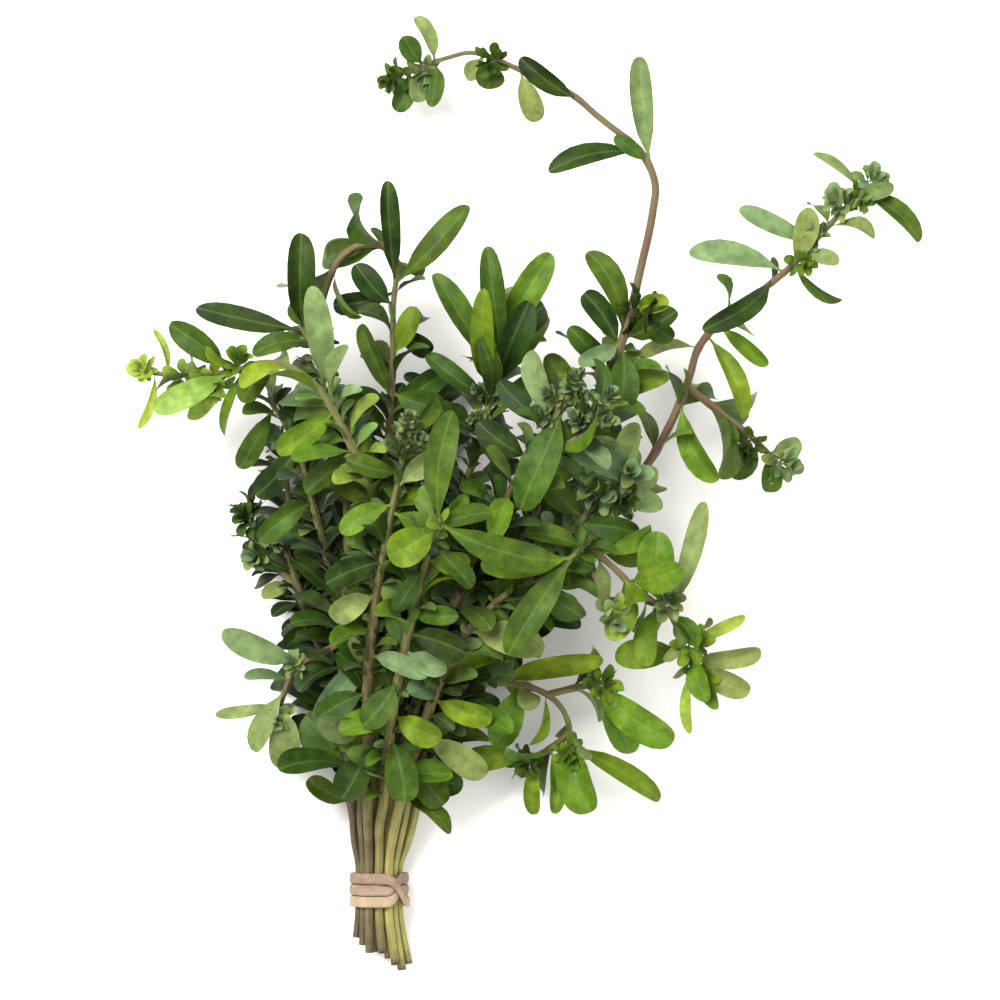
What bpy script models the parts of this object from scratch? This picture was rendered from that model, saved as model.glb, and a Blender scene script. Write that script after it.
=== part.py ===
"""A bunch of fresh marjoram, laid flat and tied near its cut ends.

Nineteen leafy stems stand side by side in a rubber band that is wound three times.
Each leafy stem is one solid: its square-shouldered stem, side shoots, opposite pairs
of leaves, the tuft at its tip, and on two of them a grey-green knot of flower buds.
The bunch lies on its back along +Y, with +Z up and its origin on the surface, under
the band. Sizes in the tables are millimetres; the meshes are made in metres.
"""
import math
import random

import bmesh
import bpy
import numpy as np
from mathutils import Matrix, Vector
from mathutils.bvhtree import BVHTree

# Driving sizes, in millimetres
STEM_RADIUS = 1.08
STEM_PITCH = 2.0
STEM_SIDES = 4
SHOOT_SHARE = 0.68
TIP_RADIUS = 0.45
TAPER_POWER = 2.2
SQUEEZE = 0.79
SQUEEZED_TO = 20.0
SQUEEZE_FADE = 12.0
CLEAR_GAP = 0.3
ROUTE_STEP = 5.0
FRAME_STEP = 0.8
RING_GAP = 8.0

# The cut ends below the tie: how far back on the left and right, how uneven, how spread
CUT_LEFT = 9.0
CUT_RIGHT = 15.0
CUT_STEPS = 7
CUT_STRIDE = 5
CUT_UNEVEN = 0.35
CUT_SPREAD = 1.3
CUT_SINK = 0.2
END_LEAN = 0.7
TIE_REACH = 4.3
HELD_TO = 9.0

# Easing the stems apart: rounds, where it starts, extra room, share and size of a move
EASE_ROUNDS = 90
EASE_SAMPLES = 3
EASE_FROM = 8.0
EASE_ROOM = 0.3
EASE_SHARE = 0.25
EASE_MOST = 0.6
FLOOR_GAP = 0.05

# Joints, where leaves grow: half length, room between two, and the ends left free
JOINT_HALF = 0.8
JOINT_ROOM = 2.0
JOINT_FIRST = 2.0
JOINT_LAST = 1.2
SAME_JOINT = 0.9
JOINT_SHIFTS = (0.0, 1.0, -1.0, 2.0, -2.0, 3.0, -3.0, 4.0, -4.0, 5.0, -5.0)

BAND_WIDTH = 2.0
BAND_THICK = 0.8
BAND_LANE = 2.32
BAND_TURNS = 3
BAND_STEPS = 18
BAND_GAP = 0.4
TIE_RADIUS = STEM_RADIUS * SQUEEZE
BAND_CORNER_RADIUS = 2 * STEM_PITCH + TIE_RADIUS + BAND_GAP
BAND_SIDE_RADIUS = 2 * STEM_PITCH * math.cos(math.radians(30)) + TIE_RADIUS + BAND_GAP
CROSSING_CENTRE = math.radians(50.0)
CROSSING_SPAN = math.radians(100.0)
FLATTENED = 0.06
TIE_HEIGHT = BAND_SIDE_RADIUS + BAND_THICK - FLATTENED

LEAF_THICK = 0.9
SMALL_LEAF = 9.0
SMALL_THICK = 0.7
LEAF_FOLD = 0.22
LEAF_CROWN = 0.12
LEAST_SPREAD = 0.3
LEAST_WIDTH = 0.75
LEAST_TIP_HEIGHT = 1.0
HIGHEST = 60.0
SHOWN_ARCH = 0.09
SHOWN_SWAY = 0.05
OWN_SHRINK = 0.8

# The opposite pairs: where they start and stop, and how their leaves vary
LEAFY_FROM = 19.0
MAIN_FIRST_PAIR = 26.0
SHOOT_FIRST_PAIR = 6.0
LAST_PAIR = 4.5
CLOSING_UP = 0.45
PAIR_LEAN = (50, 75)
AXIL_LEAN = (24, 40)
AXIL_SHARE = 0.5
AXIL_SIZE = 0.52
SIZE_RANGE = (0.85, 1.15)
WIDTH_RANGE = (0.42, 0.54)
ARCH_RANGE = (0.04, 0.12)
SWAY_SHARE = 0.06
SWING_SHARE = 0.25
SKY_PULL = 0.8
FACE_SPREAD = 0.3

# Rows of small leaves that close a stem: distance back, lean in degrees, leaves
TIP_ROWS = ((1.1, 24, 2), (3.3, 52, 4))
TIP_SIZE = 0.75

# The same for a knot of buds, with the distance as a share of the knot's length
KNOT_ROWS = ((0.95, 100, 4), (0.62, 80, 4), (0.34, 50, 4))
KNOT_SIZE = 0.85
KNOT_FOOT = 1.25
KNOT_MIDDLE = 0.5
KNOT_FADE = 0.6
KNOT_SWELL = 0.3
TO_METRES = 0.001

# A leaf's outline between its foot and its tip: fraction of length, share of half width
LARGE_OUTLINE = ((0.38, 0.9), (0.76, 0.94))
SMALL_OUTLINE = ((0.6, 1.0),)

# Turns tried for a leaf, in degrees (lift, swing, roll), with its share of length
LEAF_TRIES = (
    (0, 0, 0, 1.0), (10, 0, 0, 1.0), (-10, 0, 0, 1.0), (0, 12, 0, 1.0), (0, -12, 0, 1.0),
    (20, 0, 0, 1.0), (-20, 0, 0, 1.0), (10, 12, 30, 0.95), (-10, -12, -30, 0.95),
    (0, 0, 60, 0.9), (0, 0, -60, 0.9), (30, 0, 0, 0.85), (-30, 0, 0, 0.85),
    (0, 26, 0, 0.8), (0, -26, 0, 0.8), (16, -22, 40, 0.7), (-16, 22, -40, 0.7),
    (0, 0, 0, 0.62), (40, 0, 0, 0.6), (-40, 0, 0, 0.6), (0, 45, 0, 0.55), (0, -45, 0, 0.55),
)


def slot(ring, degrees):
    """Place of a stem in the tie: across and up from the middle of the bundle."""
    reach = STEM_PITCH * (ring if degrees % 60 == 0 else ring * math.cos(math.radians(30)))
    turn = math.radians(degrees)
    return (reach * math.cos(turn), TIE_HEIGHT + reach * math.sin(turn))


# One row for each leafy stem:
#   route   points the stem passes on its way from the tie to its tip
#   shoots  side shoots, each a list of points that starts on the stem
#   leaves  single leaves that give the bunch its outline:
#           foot x, foot y, tip x, tip y, rise of the tip, width, roll in degrees
#   pairs   spacing, length low down and length near the tip of the opposite pairs
SPRIGS = (
    dict(name="sprig_top_middle", tie=slot(0, 0), seed=11,
         route=((1.5, 20, 9), (6, 44, 16), (12, 66, 23), (17.5, 82, 27), (20.4, 90, 28),
                (22.4, 98.6, 28), (24.4, 105, 27), (24.4, 112.6, 26), (24.5, 117, 25)),
         shoots=(),
         leaves=((24.4, 110, 34.8, 127.5, 6, 7, 10), (22, 106, 21.8, 130, 5, 6, -15),
                 (21.5, 104, 15.4, 126, 2, 6, 20), (24.4, 104, 33, 118, -5, 7, -10),
                 (22, 99, 9.5, 108, 1, 5, 0)),
         pairs=(11, 18, 9)),
    dict(name="sprig_right", tie=slot(1, 0), seed=12,
         route=((5, 20, 8), (16, 42, 14), (32, 62, 18), (46, 76, 20), (53.4, 85, 21),
                (61.8, 101.6, 20), (64.4, 109.6, 19), (72, 117, 17), (81.4, 124.2, 15),
                (90.4, 133.6, 12), (98.4, 142.6, 9)),
         shoots=(((61.8, 101.6, 20), (68, 96.4, 19), (74.4, 91.6, 17), (80, 86, 15)),),
         leaves=((79, 122.6, 65, 112.6, 11, 5.6, -10), (80, 123.6, 62, 128.6, 3, 5, 15),
                 (87.5, 131, 72.4, 137.6, 2, 4.5, 10), (82.4, 124.8, 86.4, 137.4, 2, 5, 10),
                 (97, 141, 109.4, 130.6, 1, 5, -20), (98, 142, 87.4, 148.6, 3, 2.6, 30),
                 (85.4, 128.2, 92.5, 126.2, 2, 3.5, 0), (83, 126, 93.4, 118, -3, 3, 30),
                 (66, 111, 73.4, 94.6, 4, 5, -10), (60, 98, 67.4, 82, 5, 6, 20),
                 (68, 113, 78, 105, 1, 4, 10), (64, 109, 52, 107.6, 2, 4, 50),
                 (76, 89.6, 70.4, 83.4, 1, 5.6, 0), (78, 87.6, 84.8, 90.4, 1, 4.8, 0),
                 (79, 86.6, 78.4, 79.8, 0, 5, 0), (92, 136, 91, 142.6, 1, 3.6, 0),
                 (95, 139.4, 104, 141.6, 1, 4, 0)),
         pairs=(15, 17, 8)),
    dict(name="sprig_knot_right", tie=slot(1, 60), seed=13,
         route=((3, 20, 11), (9, 42, 22), (17, 62, 32), (25, 78, 38), (32, 90, 40),
                (38.4, 100.6, 39)),
         shoots=(((30, 87, 39), (40, 91, 41), (44.5, 98, 41)),),
         leaves=((36, 96, 27.4, 76.6, 4, 8, 15), (37.5, 98, 39, 77.6, 3, 9, -10),
                 (37, 97, 45.5, 88, -3, 5, 20), (34, 93, 30, 108, -2, 6, -20)),
         pairs=(11, 18, 10), knot=5.4),
    dict(name="sprig_left", tie=slot(1, 120), seed=14,
         route=((-1, 20, 11), (-1, 44, 22), (-0.5, 62, 30), (0.4, 74.6, 34), (-5.6, 90.6, 36),
                (-13.6, 102.6, 34), (-21.6, 106, 31), (-28.6, 104.2, 28), (-35.6, 103.6, 25),
                (-42.6, 103.6, 22), (-46, 104.3, 20.5)),
         shoots=(),
         leaves=((-44.6, 103.6, -50.2, 105.6, 1, 4.5, 10), (-42, 104, -44.6, 112.6, 3, 2, 30),
                 (-43, 103, -47.6, 92.6, 1, 2.2, -20), (-30, 105, -41.6, 113.6, 2, 6, 0),
                 (-31, 104, -44.6, 96.6, 4, 6, 10), (-28.6, 103, -36.6, 92.2, 5, 5, -15),
                 (-29, 103, -31.5, 91, -3, 3.5, 30), (-20, 106, -27, 98, 2, 5, 20)),
         pairs=(16, 17, 9)),
    dict(name="sprig_left_hanging", tie=slot(1, 180), seed=15,
         route=((-2.5, 20, 7.6), (-5, 44, 13), (-9, 62, 18.5), (-12.6, 76.6, 23),
                (-15.4, 87.2, 25), (-18.5, 94, 25), (-22, 99, 24)),
         shoots=(),
         leaves=((-19, 94, -20, 74.5, 1, 7, 15), (-20, 96, -27.5, 84, -3, 4.5, -20),
                 (-18, 92, -27, 93, -1, 5, 10)),
         pairs=(12, 16, 9)),
    dict(name="sprig_top_centre", tie=slot(1, 240), seed=16,
         route=((-1, 20, 6), (-1, 44, 10), (0, 68, 15), (2, 90, 20), (3, 104.6, 23),
                (3.4, 120.6, 23), (4.4, 126.2, 22)),
         shoots=(((4.2, 125.4, 22), (0.4, 129.6, 24), (-5.6, 128.6, 25), (-10.6, 119.6, 23),
                  (-12, 112, 20)),),
         leaves=((5, 126, 2, 142.2, 5, 5, 20), (5, 126, 18, 137.6, 3, 6, -10),
                 (5, 125, 14.4, 121.6, 2, 3.4, 10), (4, 124, -0.5, 134, -2, 3, 30),
                 (3.4, 118.6, -9.6, 117.6, -3, 5, 0), (2.6, 99, -4, 113.6, 4, 4.6, -15)),
         pairs=(15, 17, 9)),
    dict(name="sprig_curled", tie=slot(1, 300), seed=17,
         route=((4, 20, 6), (13, 42, 10), (26, 64, 15), (38, 86, 20), (46, 103, 24),
                (49.8, 113.6, 25), (52.4, 124.6, 25), (54.8, 135.6, 24), (55.4, 141.6, 23),
                (53.6, 146.6, 22), (44.4, 155, 19), (38.4, 160.2, 17), (27.4, 165.4, 14),
                (18.4, 168.6, 11), (12.4, 167.2, 9), (4.6, 164.6, 7.6)),
         shoots=(),
         leaves=((54, 146, 52.6, 167.6, 2, 5.6, 10), (52.6, 147, 34, 144.2, 3, 5, 25),
                 (40, 159, 28.4, 167.2, 4, 5, 0), (29, 165, 32.2, 154.6, -2, 5, -10),
                 (6.4, 165.4, 3.4, 156.8, 1, 5, -10),
                 (11.4, 167, 7.4, 176, 1, 4, 20), (10, 166.5, 5, 172, 2, 4.6, 0),
                 (9, 166.2, 8.2, 158.6, 1, 5, 0), (12, 167, 10.4, 157, 0, 4, 0),
                 (24.4, 166.8, 22, 161, 1, 6, 0), (21, 168, 17.8, 163, 1, 4.6, 0),
                 (49, 112, 42.4, 128.6, 4, 6, 30), (50, 113, 59, 110.5, 1, 5, 10),
                 (50.5, 115, 58, 118.5, 3, 5, -10), (48.6, 109, 48, 96, 3, 6.5, 0),
                 (53.4, 147, 47, 151, 2, 3.4, 0)),
         pairs=(15, 17, 7), leafy_to=118.0),
    dict(name="sprig_right_arch", tie=slot(2, 0), seed=18,
         route=((7, 20, 8), (18, 42, 18), (30, 60, 26), (40.4, 69.6, 31), (46.5, 65.5, 33),
                (52.4, 60, 31), (57.4, 56.8, 28), (61.4, 48.6, 23), (63.4, 44, 20)),
         shoots=(((41.5, 69.2, 31.5), (43.5, 63, 33), (47.4, 56.6, 32)),),
         leaves=((56, 57.6, 56, 72.4, 5, 8, 0), (59, 56, 64.8, 78.6, 1, 4.6, -10),
                 (61.5, 49, 74, 55.2, 0, 3, 10), (62, 47, 77, 48.6, 1, 5, 0), (51, 61, 46, 51, 3, 6, 0),
                 (63, 45, 74.4, 40.6, 3, 6, -10), (63, 45, 69.4, 33.6, 2, 5, 0),
                 (63, 45, 62.4, 31.5, -4, 2.4, 20), (60.5, 50, 46.8, 48, 0, 6, 10),
                 (57, 58, 53.4, 45.6, 4, 5, 30), (62, 48, 66, 38, 5, 5, 20)),
         pairs=(11, 17, 8)),
    dict(name="sprig_rosette", tie=slot(2, 30), seed=19,
         route=((6, 20, 10), (16, 40, 20), (28, 60, 28), (40, 74, 31), (48.8, 83, 32)),
         shoots=(),
         leaves=((45, 79, 43.6, 92, 4, 6, 10), (48, 82.4, 51, 94, 6, 6, -10),
                 (44, 78, 57, 84, -2, 5.5, 0), (46, 80.4, 57, 77.6, 1, 5, 0),
                 (41, 75, 33, 84, 3, 6, 0), (36, 70, 45, 64, -1, 6, 0)),
         pairs=(11, 17, 8)),
    dict(name="sprig_front_right", tie=slot(2, 60), seed=20,
         route=((5, 20, 12), (10, 36, 22), (16, 50, 30), (26, 60, 35), (37, 66, 37),
                (42.5, 71, 37)),
         shoots=(),
         leaves=((18, 53, 33, 48.5, 6, 7, 0), (7, 27, 13.6, 17.4, 1, 7, 0),
                 (8, 31, 22, 22.4, -1, 6, 0), (11, 39, 23, 35, 1, 6, 0),
                 (13, 44, 25, 50, 2, 7, 0), (39, 67, 26, 47.6, 3, 7, -10),
                 (37, 66, 21.4, 62.2, 5, 6, 10), (40, 69, 29, 72, 3, 5, 10),
                 (30, 62, 40, 54, 4, 6, 15)),
         pairs=(11, 18, 9)),
    dict(name="sprig_front_centre", tie=slot(2, 90), seed=21,
         route=((1, 18, 13), (3.6, 40, 27), (7.6, 58, 37), (10.6, 69, 42), (12, 73.4, 46),
                (12.4, 74.6, 50)),
         shoots=(),
         leaves=((12.4, 74.6, 15, 96.4, 2, 6.4, -10), (12, 73, 10.6, 90, -2, 4, 10),
                 (12, 73.4, 2, 67.6, 1, 7.6, 0), (12.3, 74.4, 35, 66.6, -5, 7, 5),
                 (12.3, 74.2, 22.2, 76, 1, 5, 0), (10, 65, 3.5, 56, 2, 5, -20),
                 (2, 31, 5.4, 18.4, 1, 8, 0), (3, 36, 13, 31, 2, 6, 0), (4, 43, -3, 33.6, 2, 6, 0),
                 (5.4, 49, 14, 45, 1, 5, 0),
                 (11, 70, 19, 61, 0, 5, 0)),
         pairs=(14, 18, 10)),
    dict(name="sprig_knot_left", tie=slot(2, 120), seed=22,
         route=((-2, 20, 13), (-2, 42, 26), (0, 60, 36), (3, 76, 41), (5.5, 88, 42),
                (6.4, 92.6, 42)),
         shoots=(),
         leaves=((4, 84, -6, 86.6, 2, 5, 0), (3, 78, -7, 72, 1, 5, 10), (-2, 29, -7.4, 18.6, 1, 8, 0),
                 (-2, 40, -12, 35, 0, 6, 0), (-1.4, 48, 10.6, 43.4, 3, 5, 0),
                 (0, 60, -9, 55, 0, 6, 0),
                 (6, 91, 13, 99, -4, 4.5, 20)),
         pairs=(14, 16, 9), knot=4.4),
    dict(name="sprig_upper_left", tie=slot(2, 150), seed=23,
         route=((-4, 20, 10.4), (-7, 44, 18.5), (-6, 66, 25), (-6.5, 82, 28), (-8.6, 93, 28),
                (-10.6, 99.6, 28), (-12.6, 108.6, 27), (-15.6, 113.6, 26)),
         shoots=(),
         leaves=((-15, 113, -14.6, 131.8, 6, 7, 10), (-11, 100.6, -13, 121, 8, 6, -10),
                 (-15, 112.5, -37.2, 118, -2, 5.5, 10),
                 (-14, 111, -25, 107, 1, 5, 20), (-9, 94, -20, 97, -2, 5, 0)),
         pairs=(12, 17, 9)),
    dict(name="sprig_lower_left", tie=slot(2, 180), seed=24,
         route=((-4.6, 14, 8), (-5, 26, 12), (-2, 38, 17), (0.6, 47, 21), (-3.6, 50.6, 23),
                (-9.6, 48.8, 22), (-15.6, 45.6, 19), (-18.6, 40.6, 15), (-20.4, 35, 12)),
         shoots=(),
         leaves=((-15, 46, -31.2, 52.4, 2, 5.5, 0), (-18, 42, -27.4, 43.4, -1, 2.6, 20),
                 (-19.4, 38, -33, 35.6, -1, 3, 10), (-20, 37, -25, 28, 1, 5, 0),
                 (-20, 37, -19.6, 24.4, 2, 6.4, 0), (-1, 50, -10.6, 32.6, 4, 6, -15),
                 (-1, 50.4, -15, 57, 0, 4, 0), (-4.8, 21, -14.8, 35.4, 4, 10, 10),
                 (-4.8, 17.6, -14.4, 22.6, 1, 5, 0)),
         pairs=(14, 15, 7)),
    dict(name="sprig_left_middle", tie=slot(2, 210), seed=25,
         route=((-4.5, 18, 5), (-8, 36, 8), (-13, 52, 11), (-18, 63, 13), (-22.5, 67, 12),
                (-25, 72, 11), (-26, 78, 11)),
         shoots=(((-15, 57, 12), (-17.6, 66, 14), (-19, 71, 15)),),
         leaves=((-18, 64, -27, 70, -2, 4, 0), (-17, 62, -23.4, 59, 2, 3.6, 0),
                 (-14, 54, -19, 49, -2, 5, 0)),
         pairs=(11, 14, 7)),
    dict(name="sprig_under_left", tie=slot(2, 240), seed=26,
         route=((-3, 18, 3.6), (-9, 40, 3.2), (-14, 60, 4), (-18, 78, 5), (-20, 90, 6)),
         shoots=(), leaves=(), pairs=(11, 18, 9)),
    dict(name="sprig_under_middle", tie=slot(2, 270), seed=27,
         route=((0, 18, 2.4), (1, 42, 3), (4, 66, 3.6), (9, 88, 5), (12, 102, 6)),
         shoots=(), leaves=(), pairs=(11, 19, 10)),
    dict(name="sprig_under_right", tie=slot(2, 300), seed=28,
         route=((3, 18, 3.6), (14, 40, 3.6), (27, 58, 4), (39, 74, 5), (47, 88, 6)),
         shoots=(), leaves=(), pairs=(11, 19, 10)),
    dict(name="sprig_lower_right", tie=slot(2, 330), seed=29,
         route=((5.4, 14, 6.4), (9, 26, 8.5), (13, 37, 11), (20, 41.6, 13), (28, 41.5, 14),
                (35, 38.8, 14), (38.2, 34, 13), (38, 28, 11)),
         shoots=(((38.2, 32, 12.4), (33.6, 28, 11), (29, 25.8, 10)),
                 ((34, 39.2, 14), (39.6, 41, 16), (44.6, 42, 17))),
         leaves=((25, 41.6, 45, 46.4, 9, 5.6, 0), (44, 42, 59.4, 30.2, 2, 8, 0),
                 (43, 41.6, 50.8, 27, -2, 6.4, 0), (38.2, 32, 42.8, 16, 3, 9, 0),
                 (38, 28, 57.4, 17.4, -2, 5, 0), (32, 27, 31.2, 14.8, 0, 4, 10),
                 (34, 28, 35.4, 15.4, 2, 4, -10),
                 (30, 26, 15.4, 25, 1, 5.6, 10), (26, 41.6, 23.4, 29, 3, 7, 0),
                 (14, 38.4, -4, 45, 6, 4.4, 20), (7.6, 22, 17, 21, 1, 6, 0),
                 (31, 40.6, 30.6, 35.6, 2, 5, 0)),
         pairs=(14, 15, 8)),
)


def unit(vector):
    return vector / max(np.linalg.norm(vector), 1e-9)


def smooth_points(points, step):
    """Evenly spaced points on a smooth curve through the given ones."""
    gaps = np.linalg.norm(np.diff(points, axis=0), axis=1)[:, None]
    slopes = np.diff(points, axis=0) / gaps
    inner = (slopes[:-1] * gaps[1:] + slopes[1:] * gaps[:-1]) / (gaps[1:] + gaps[:-1])
    slopes = np.concatenate((slopes[:1], inner, slopes[-1:]))
    dense = []
    for i, gap in enumerate(gaps[:, 0]):
        for t in np.arange(0.0, 1.0, 0.05):
            dense.append((2 * t ** 3 - 3 * t * t + 1) * points[i]
                         + (3 * t * t - 2 * t ** 3) * points[i + 1]
                         + gap * (t ** 3 - 2 * t * t + t) * slopes[i]
                         + gap * (t ** 3 - t * t) * slopes[i + 1])
    dense.append(points[-1])
    dense = np.array(dense)
    lengths = np.concatenate(([0.0], np.cumsum(np.linalg.norm(np.diff(dense, axis=0), axis=1))))
    count = max(2, round(lengths[-1] / step))
    places = np.linspace(0.0, lengths[-1], count + 1)
    return np.stack([np.interp(places, lengths, dense[:, i]) for i in range(3)], axis=1)


def stem_lines():
    """Centre lines of every stem and shoot, as dictionaries in one list."""
    lines = []
    for number, sprig in enumerate(SPRIGS):
        across, up = sprig["tie"]
        right = across / (4 * STEM_PITCH) + 0.5
        back = CUT_LEFT + (CUT_RIGHT - CUT_LEFT) * right
        back += (number * CUT_STRIDE) % CUT_STEPS * CUT_UNEVEN
        foot = (across * CUT_SPREAD + END_LEAN, -back, up - CUT_SINK)
        points = [foot, (across, -TIE_REACH, up), (across, 0.0, up), (across, TIE_REACH, up)]
        points += sprig["route"]
        main = smooth_points(np.array(points, dtype=float), ROUTE_STEP)
        lines.append(dict(sprig=number, points=main, main=True, thick=STEM_RADIUS,
                          knot=sprig.get("knot", 0.0), joints=[],
                          held=np.array([p[1] < HELD_TO for p in main])))
        for shoot in sprig["shoots"]:
            points = smooth_points(np.array(shoot, dtype=float), ROUTE_STEP)
            lines.append(dict(sprig=number, points=points, main=False,
                              thick=STEM_RADIUS * SHOOT_SHARE, knot=0.0, joints=[],
                              held=np.array([True] + [False] * (len(points) - 1))))
    return lines


def smooth_step(t):
    t = min(max(t, 0.0), 1.0)
    return t * t * (3 - 2 * t)


def half_width(line, place, length):
    """Half width of a stem: squeezed in the tie, then a slow taper to its tip."""
    width = line["thick"] + (TIP_RADIUS - line["thick"]) * (place / length) ** TAPER_POWER
    if line["main"]:
        width *= SQUEEZE + (1 - SQUEEZE) * smooth_step((place - SQUEEZED_TO) / SQUEEZE_FADE)
    return width


def radius_at(line, place):
    """The same along a finished line, with the swelling where it ends in a knot."""
    radius = half_width(line, place, line["length"])
    if line["knot"]:
        off = abs((line["length"] - place) / line["knot"] - KNOT_MIDDLE) / KNOT_FADE
        radius += line["knot"] * KNOT_SWELL * (1.0 - min(1.0, off))
    return radius


def line_radii(line):
    """Half widths at the points of a line that is still being bent."""
    length = ROUTE_STEP * (len(line["points"]) - 1)
    return np.array([half_width(line, k * ROUTE_STEP, length)
                     for k in range(len(line["points"]))])


def ease_apart(lines):
    """Bend the stems clear of each other and of the surface, a little at a time."""
    for _ in range(EASE_ROUNDS):
        spots, radii, owner, index, share = [], [], [], [], []
        for number, line in enumerate(lines):
            points, thick = line["points"], line_radii(line)
            for i in range(len(points) - 1):
                for t in np.arange(0.0, 1.0, 1.0 / EASE_SAMPLES):
                    spots.append(points[i] * (1 - t) + points[i + 1] * t)
                    radii.append(thick[i] * (1 - t) + thick[i + 1] * t)
                    owner.append(number)
                    index.append(i)
                    share.append(t)
        spots, radii = np.array(spots), np.array(radii)
        sprig = np.array([lines[n]["sprig"] for n in owner])
        apart = np.linalg.norm(spots[:, None, :] - spots[None, :, :], axis=2)
        wanted = radii[:, None] + radii[None, :] + CLEAR_GAP + EASE_ROOM
        close = (apart < wanted) & (sprig[:, None] != sprig[None, :])
        close &= (spots[:, 1] > EASE_FROM)[:, None]
        moves = [np.zeros_like(line["points"]) for line in lines]
        for a, b in zip(*np.nonzero(close)):
            push = (spots[a] - spots[b]) / max(apart[a, b], 1e-6)
            push = push * (wanted[a, b] - apart[a, b]) * EASE_SHARE
            moves[owner[a]][index[a]] += push * (1 - share[a])
            moves[owner[a]][index[a] + 1] += push * share[a]
        for line, move in zip(lines, moves):
            size = np.linalg.norm(move, axis=1, keepdims=True)
            move = move * np.minimum(1.0, EASE_MOST / np.maximum(size, 1e-9))
            move[line["held"]] = 0.0
            line["points"] = line["points"] + move
            floor = line_radii(line) + FLOOR_GAP
            line["points"][:, 2] = np.maximum(line["points"][:, 2], floor)


def set_frames(line):
    """A fine copy of a line, with the direction and the side vector at each point."""
    spots = smooth_points(line["points"], FRAME_STEP)
    ahead = np.gradient(spots, axis=0)
    ahead = ahead / np.linalg.norm(ahead, axis=1, keepdims=True)
    side = unit(np.cross(ahead[0], (0.1, 0.0, 1.0)))
    sides = []
    for direction in ahead:
        side = unit(side - direction * np.dot(side, direction))
        sides.append(side)
    steps = np.linalg.norm(np.diff(spots, axis=0), axis=1)
    line["spots"], line["ahead"], line["side"] = spots, ahead, np.array(sides)
    line["along"] = np.concatenate(([0.0], np.cumsum(steps)))
    line["length"] = line["along"][-1]


def frame_at(line, place):
    """Centre, direction and side of a stem at a distance along it."""
    spot, ahead, side = [np.array([np.interp(place, line["along"], line[key][:, i])
                                   for i in range(3)]) for key in ("spots", "ahead", "side")]
    ahead = unit(ahead)
    return spot, ahead, unit(side - ahead * np.dot(side, ahead))


def ring_at(line, place):
    """The four corners of a stem at a distance along it."""
    spot, ahead, side = frame_at(line, place)
    up = np.cross(ahead, side)
    radius = radius_at(line, place)
    return [spot + radius * (math.cos(turn) * side + math.sin(turn) * up)
            for turn in np.arange(STEM_SIDES) * 2 * math.pi / STEM_SIDES]


def joint_half(line, place):
    """Half the length of stem that a leaf grows from; less towards the tip."""
    return JOINT_HALF * (0.6 + 0.4 * (1.0 - place / line["length"]))


def face_at(line, place, side):
    """Corners, middle and outward direction of one side of a stem at a joint."""
    half = joint_half(line, place)
    low, high = ring_at(line, place - half), ring_at(line, place + half)
    after = (side + 1) % STEM_SIDES
    corners = np.array([low[side], low[after], high[after], high[side]])
    out = unit(np.cross(corners[1] - corners[0], corners[3] - corners[0]))
    return corners, corners.mean(axis=0), out


def make_leaf(foot, tip, up, width, arch, sway):
    return dict(foot=foot, tip=tip, up=up, width=width, arch=arch, sway=sway)


def leaf_frame(leaf, t):
    """Centre, across and normal of a leaf at a fraction t of its length."""
    foot, tip = leaf["foot"], leaf["tip"]
    ahead = unit(tip - foot)
    across = unit(np.cross(ahead, leaf["up"]))
    normal = np.cross(across, ahead)
    bend = (foot + tip) / 2 + 2 * leaf["arch"] * normal + 2 * leaf["sway"] * across
    centre = (1 - t) ** 2 * foot + 2 * t * (1 - t) * bend + t * t * tip
    ahead = unit(2 * (1 - t) * (bend - foot) + 2 * t * (tip - bend))
    across = unit(np.cross(ahead, normal))
    return centre, across, np.cross(across, ahead)


def leaf_rings(leaf, grow=0.0):
    """Rings of four points up a leaf, then its tip; it lies on the surface at the lowest."""
    small = np.linalg.norm(leaf["tip"] - leaf["foot"]) < SMALL_LEAF
    outline = SMALL_OUTLINE if small else LARGE_OUTLINE
    thick = (SMALL_THICK if small else LEAF_THICK) + 2 * grow
    rings = []
    for t, share in outline:
        centre, across, normal = leaf_frame(leaf, t)
        half = leaf["width"] / 2 * share + grow
        rim = normal * LEAF_FOLD * half
        crown = LEAF_CROWN + grow
        ring = [centre - across * half + rim, centre + normal * crown,
                centre + across * half + rim, centre + normal * (crown - thick)]
        low = min(point[2] for point in ring)
        rings.append([point - (0.0, 0.0, min(low, 0.0)) for point in ring])
    tip = leaf_frame(leaf, 1.0)[0]
    return rings, np.array((tip[0], tip[1], max(tip[2], LEAF_CROWN)))


def leaf_surface(leaf, corners, grow=0.0):
    """Points and triangles of a leaf that grows out of four corners of a stem."""
    rings, tip = leaf_rings(leaf, grow)
    middles = [unit((corners[i] + corners[(i + 1) % 4]) / 2 - corners.mean(axis=0))
               for i in range(4)]
    centre = np.mean(rings[0], axis=0)
    spokes = [unit(point - centre) for point in rings[0]]
    turn = max(range(4), key=lambda k: sum(np.dot(middles[i], spokes[(i + k) % 4])
                                           for i in range(4)))
    verts = list(corners)
    for ring in rings:
        verts += ring
    verts.append(tip)
    faces = []
    for i in range(4):
        here, before = 4 + (i + turn) % 4, 4 + (i + turn + 3) % 4
        faces += [(i, (i + 1) % 4, here), (i, here, before)]
    for first in range(4, 4 * len(rings), 4):
        for k in range(4):
            a, b = first + k, first + (k + 1) % 4
            c, d = b + 4, a + 4
            faces += [(a, b, c), (a, c, d)] if k % 2 == 0 else [(a, b, d), (b, c, d)]
    last = 4 * len(rings)
    faces += [(last + k, last + (k + 1) % 4, last + 4) for k in range(4)]
    return verts, faces


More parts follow.
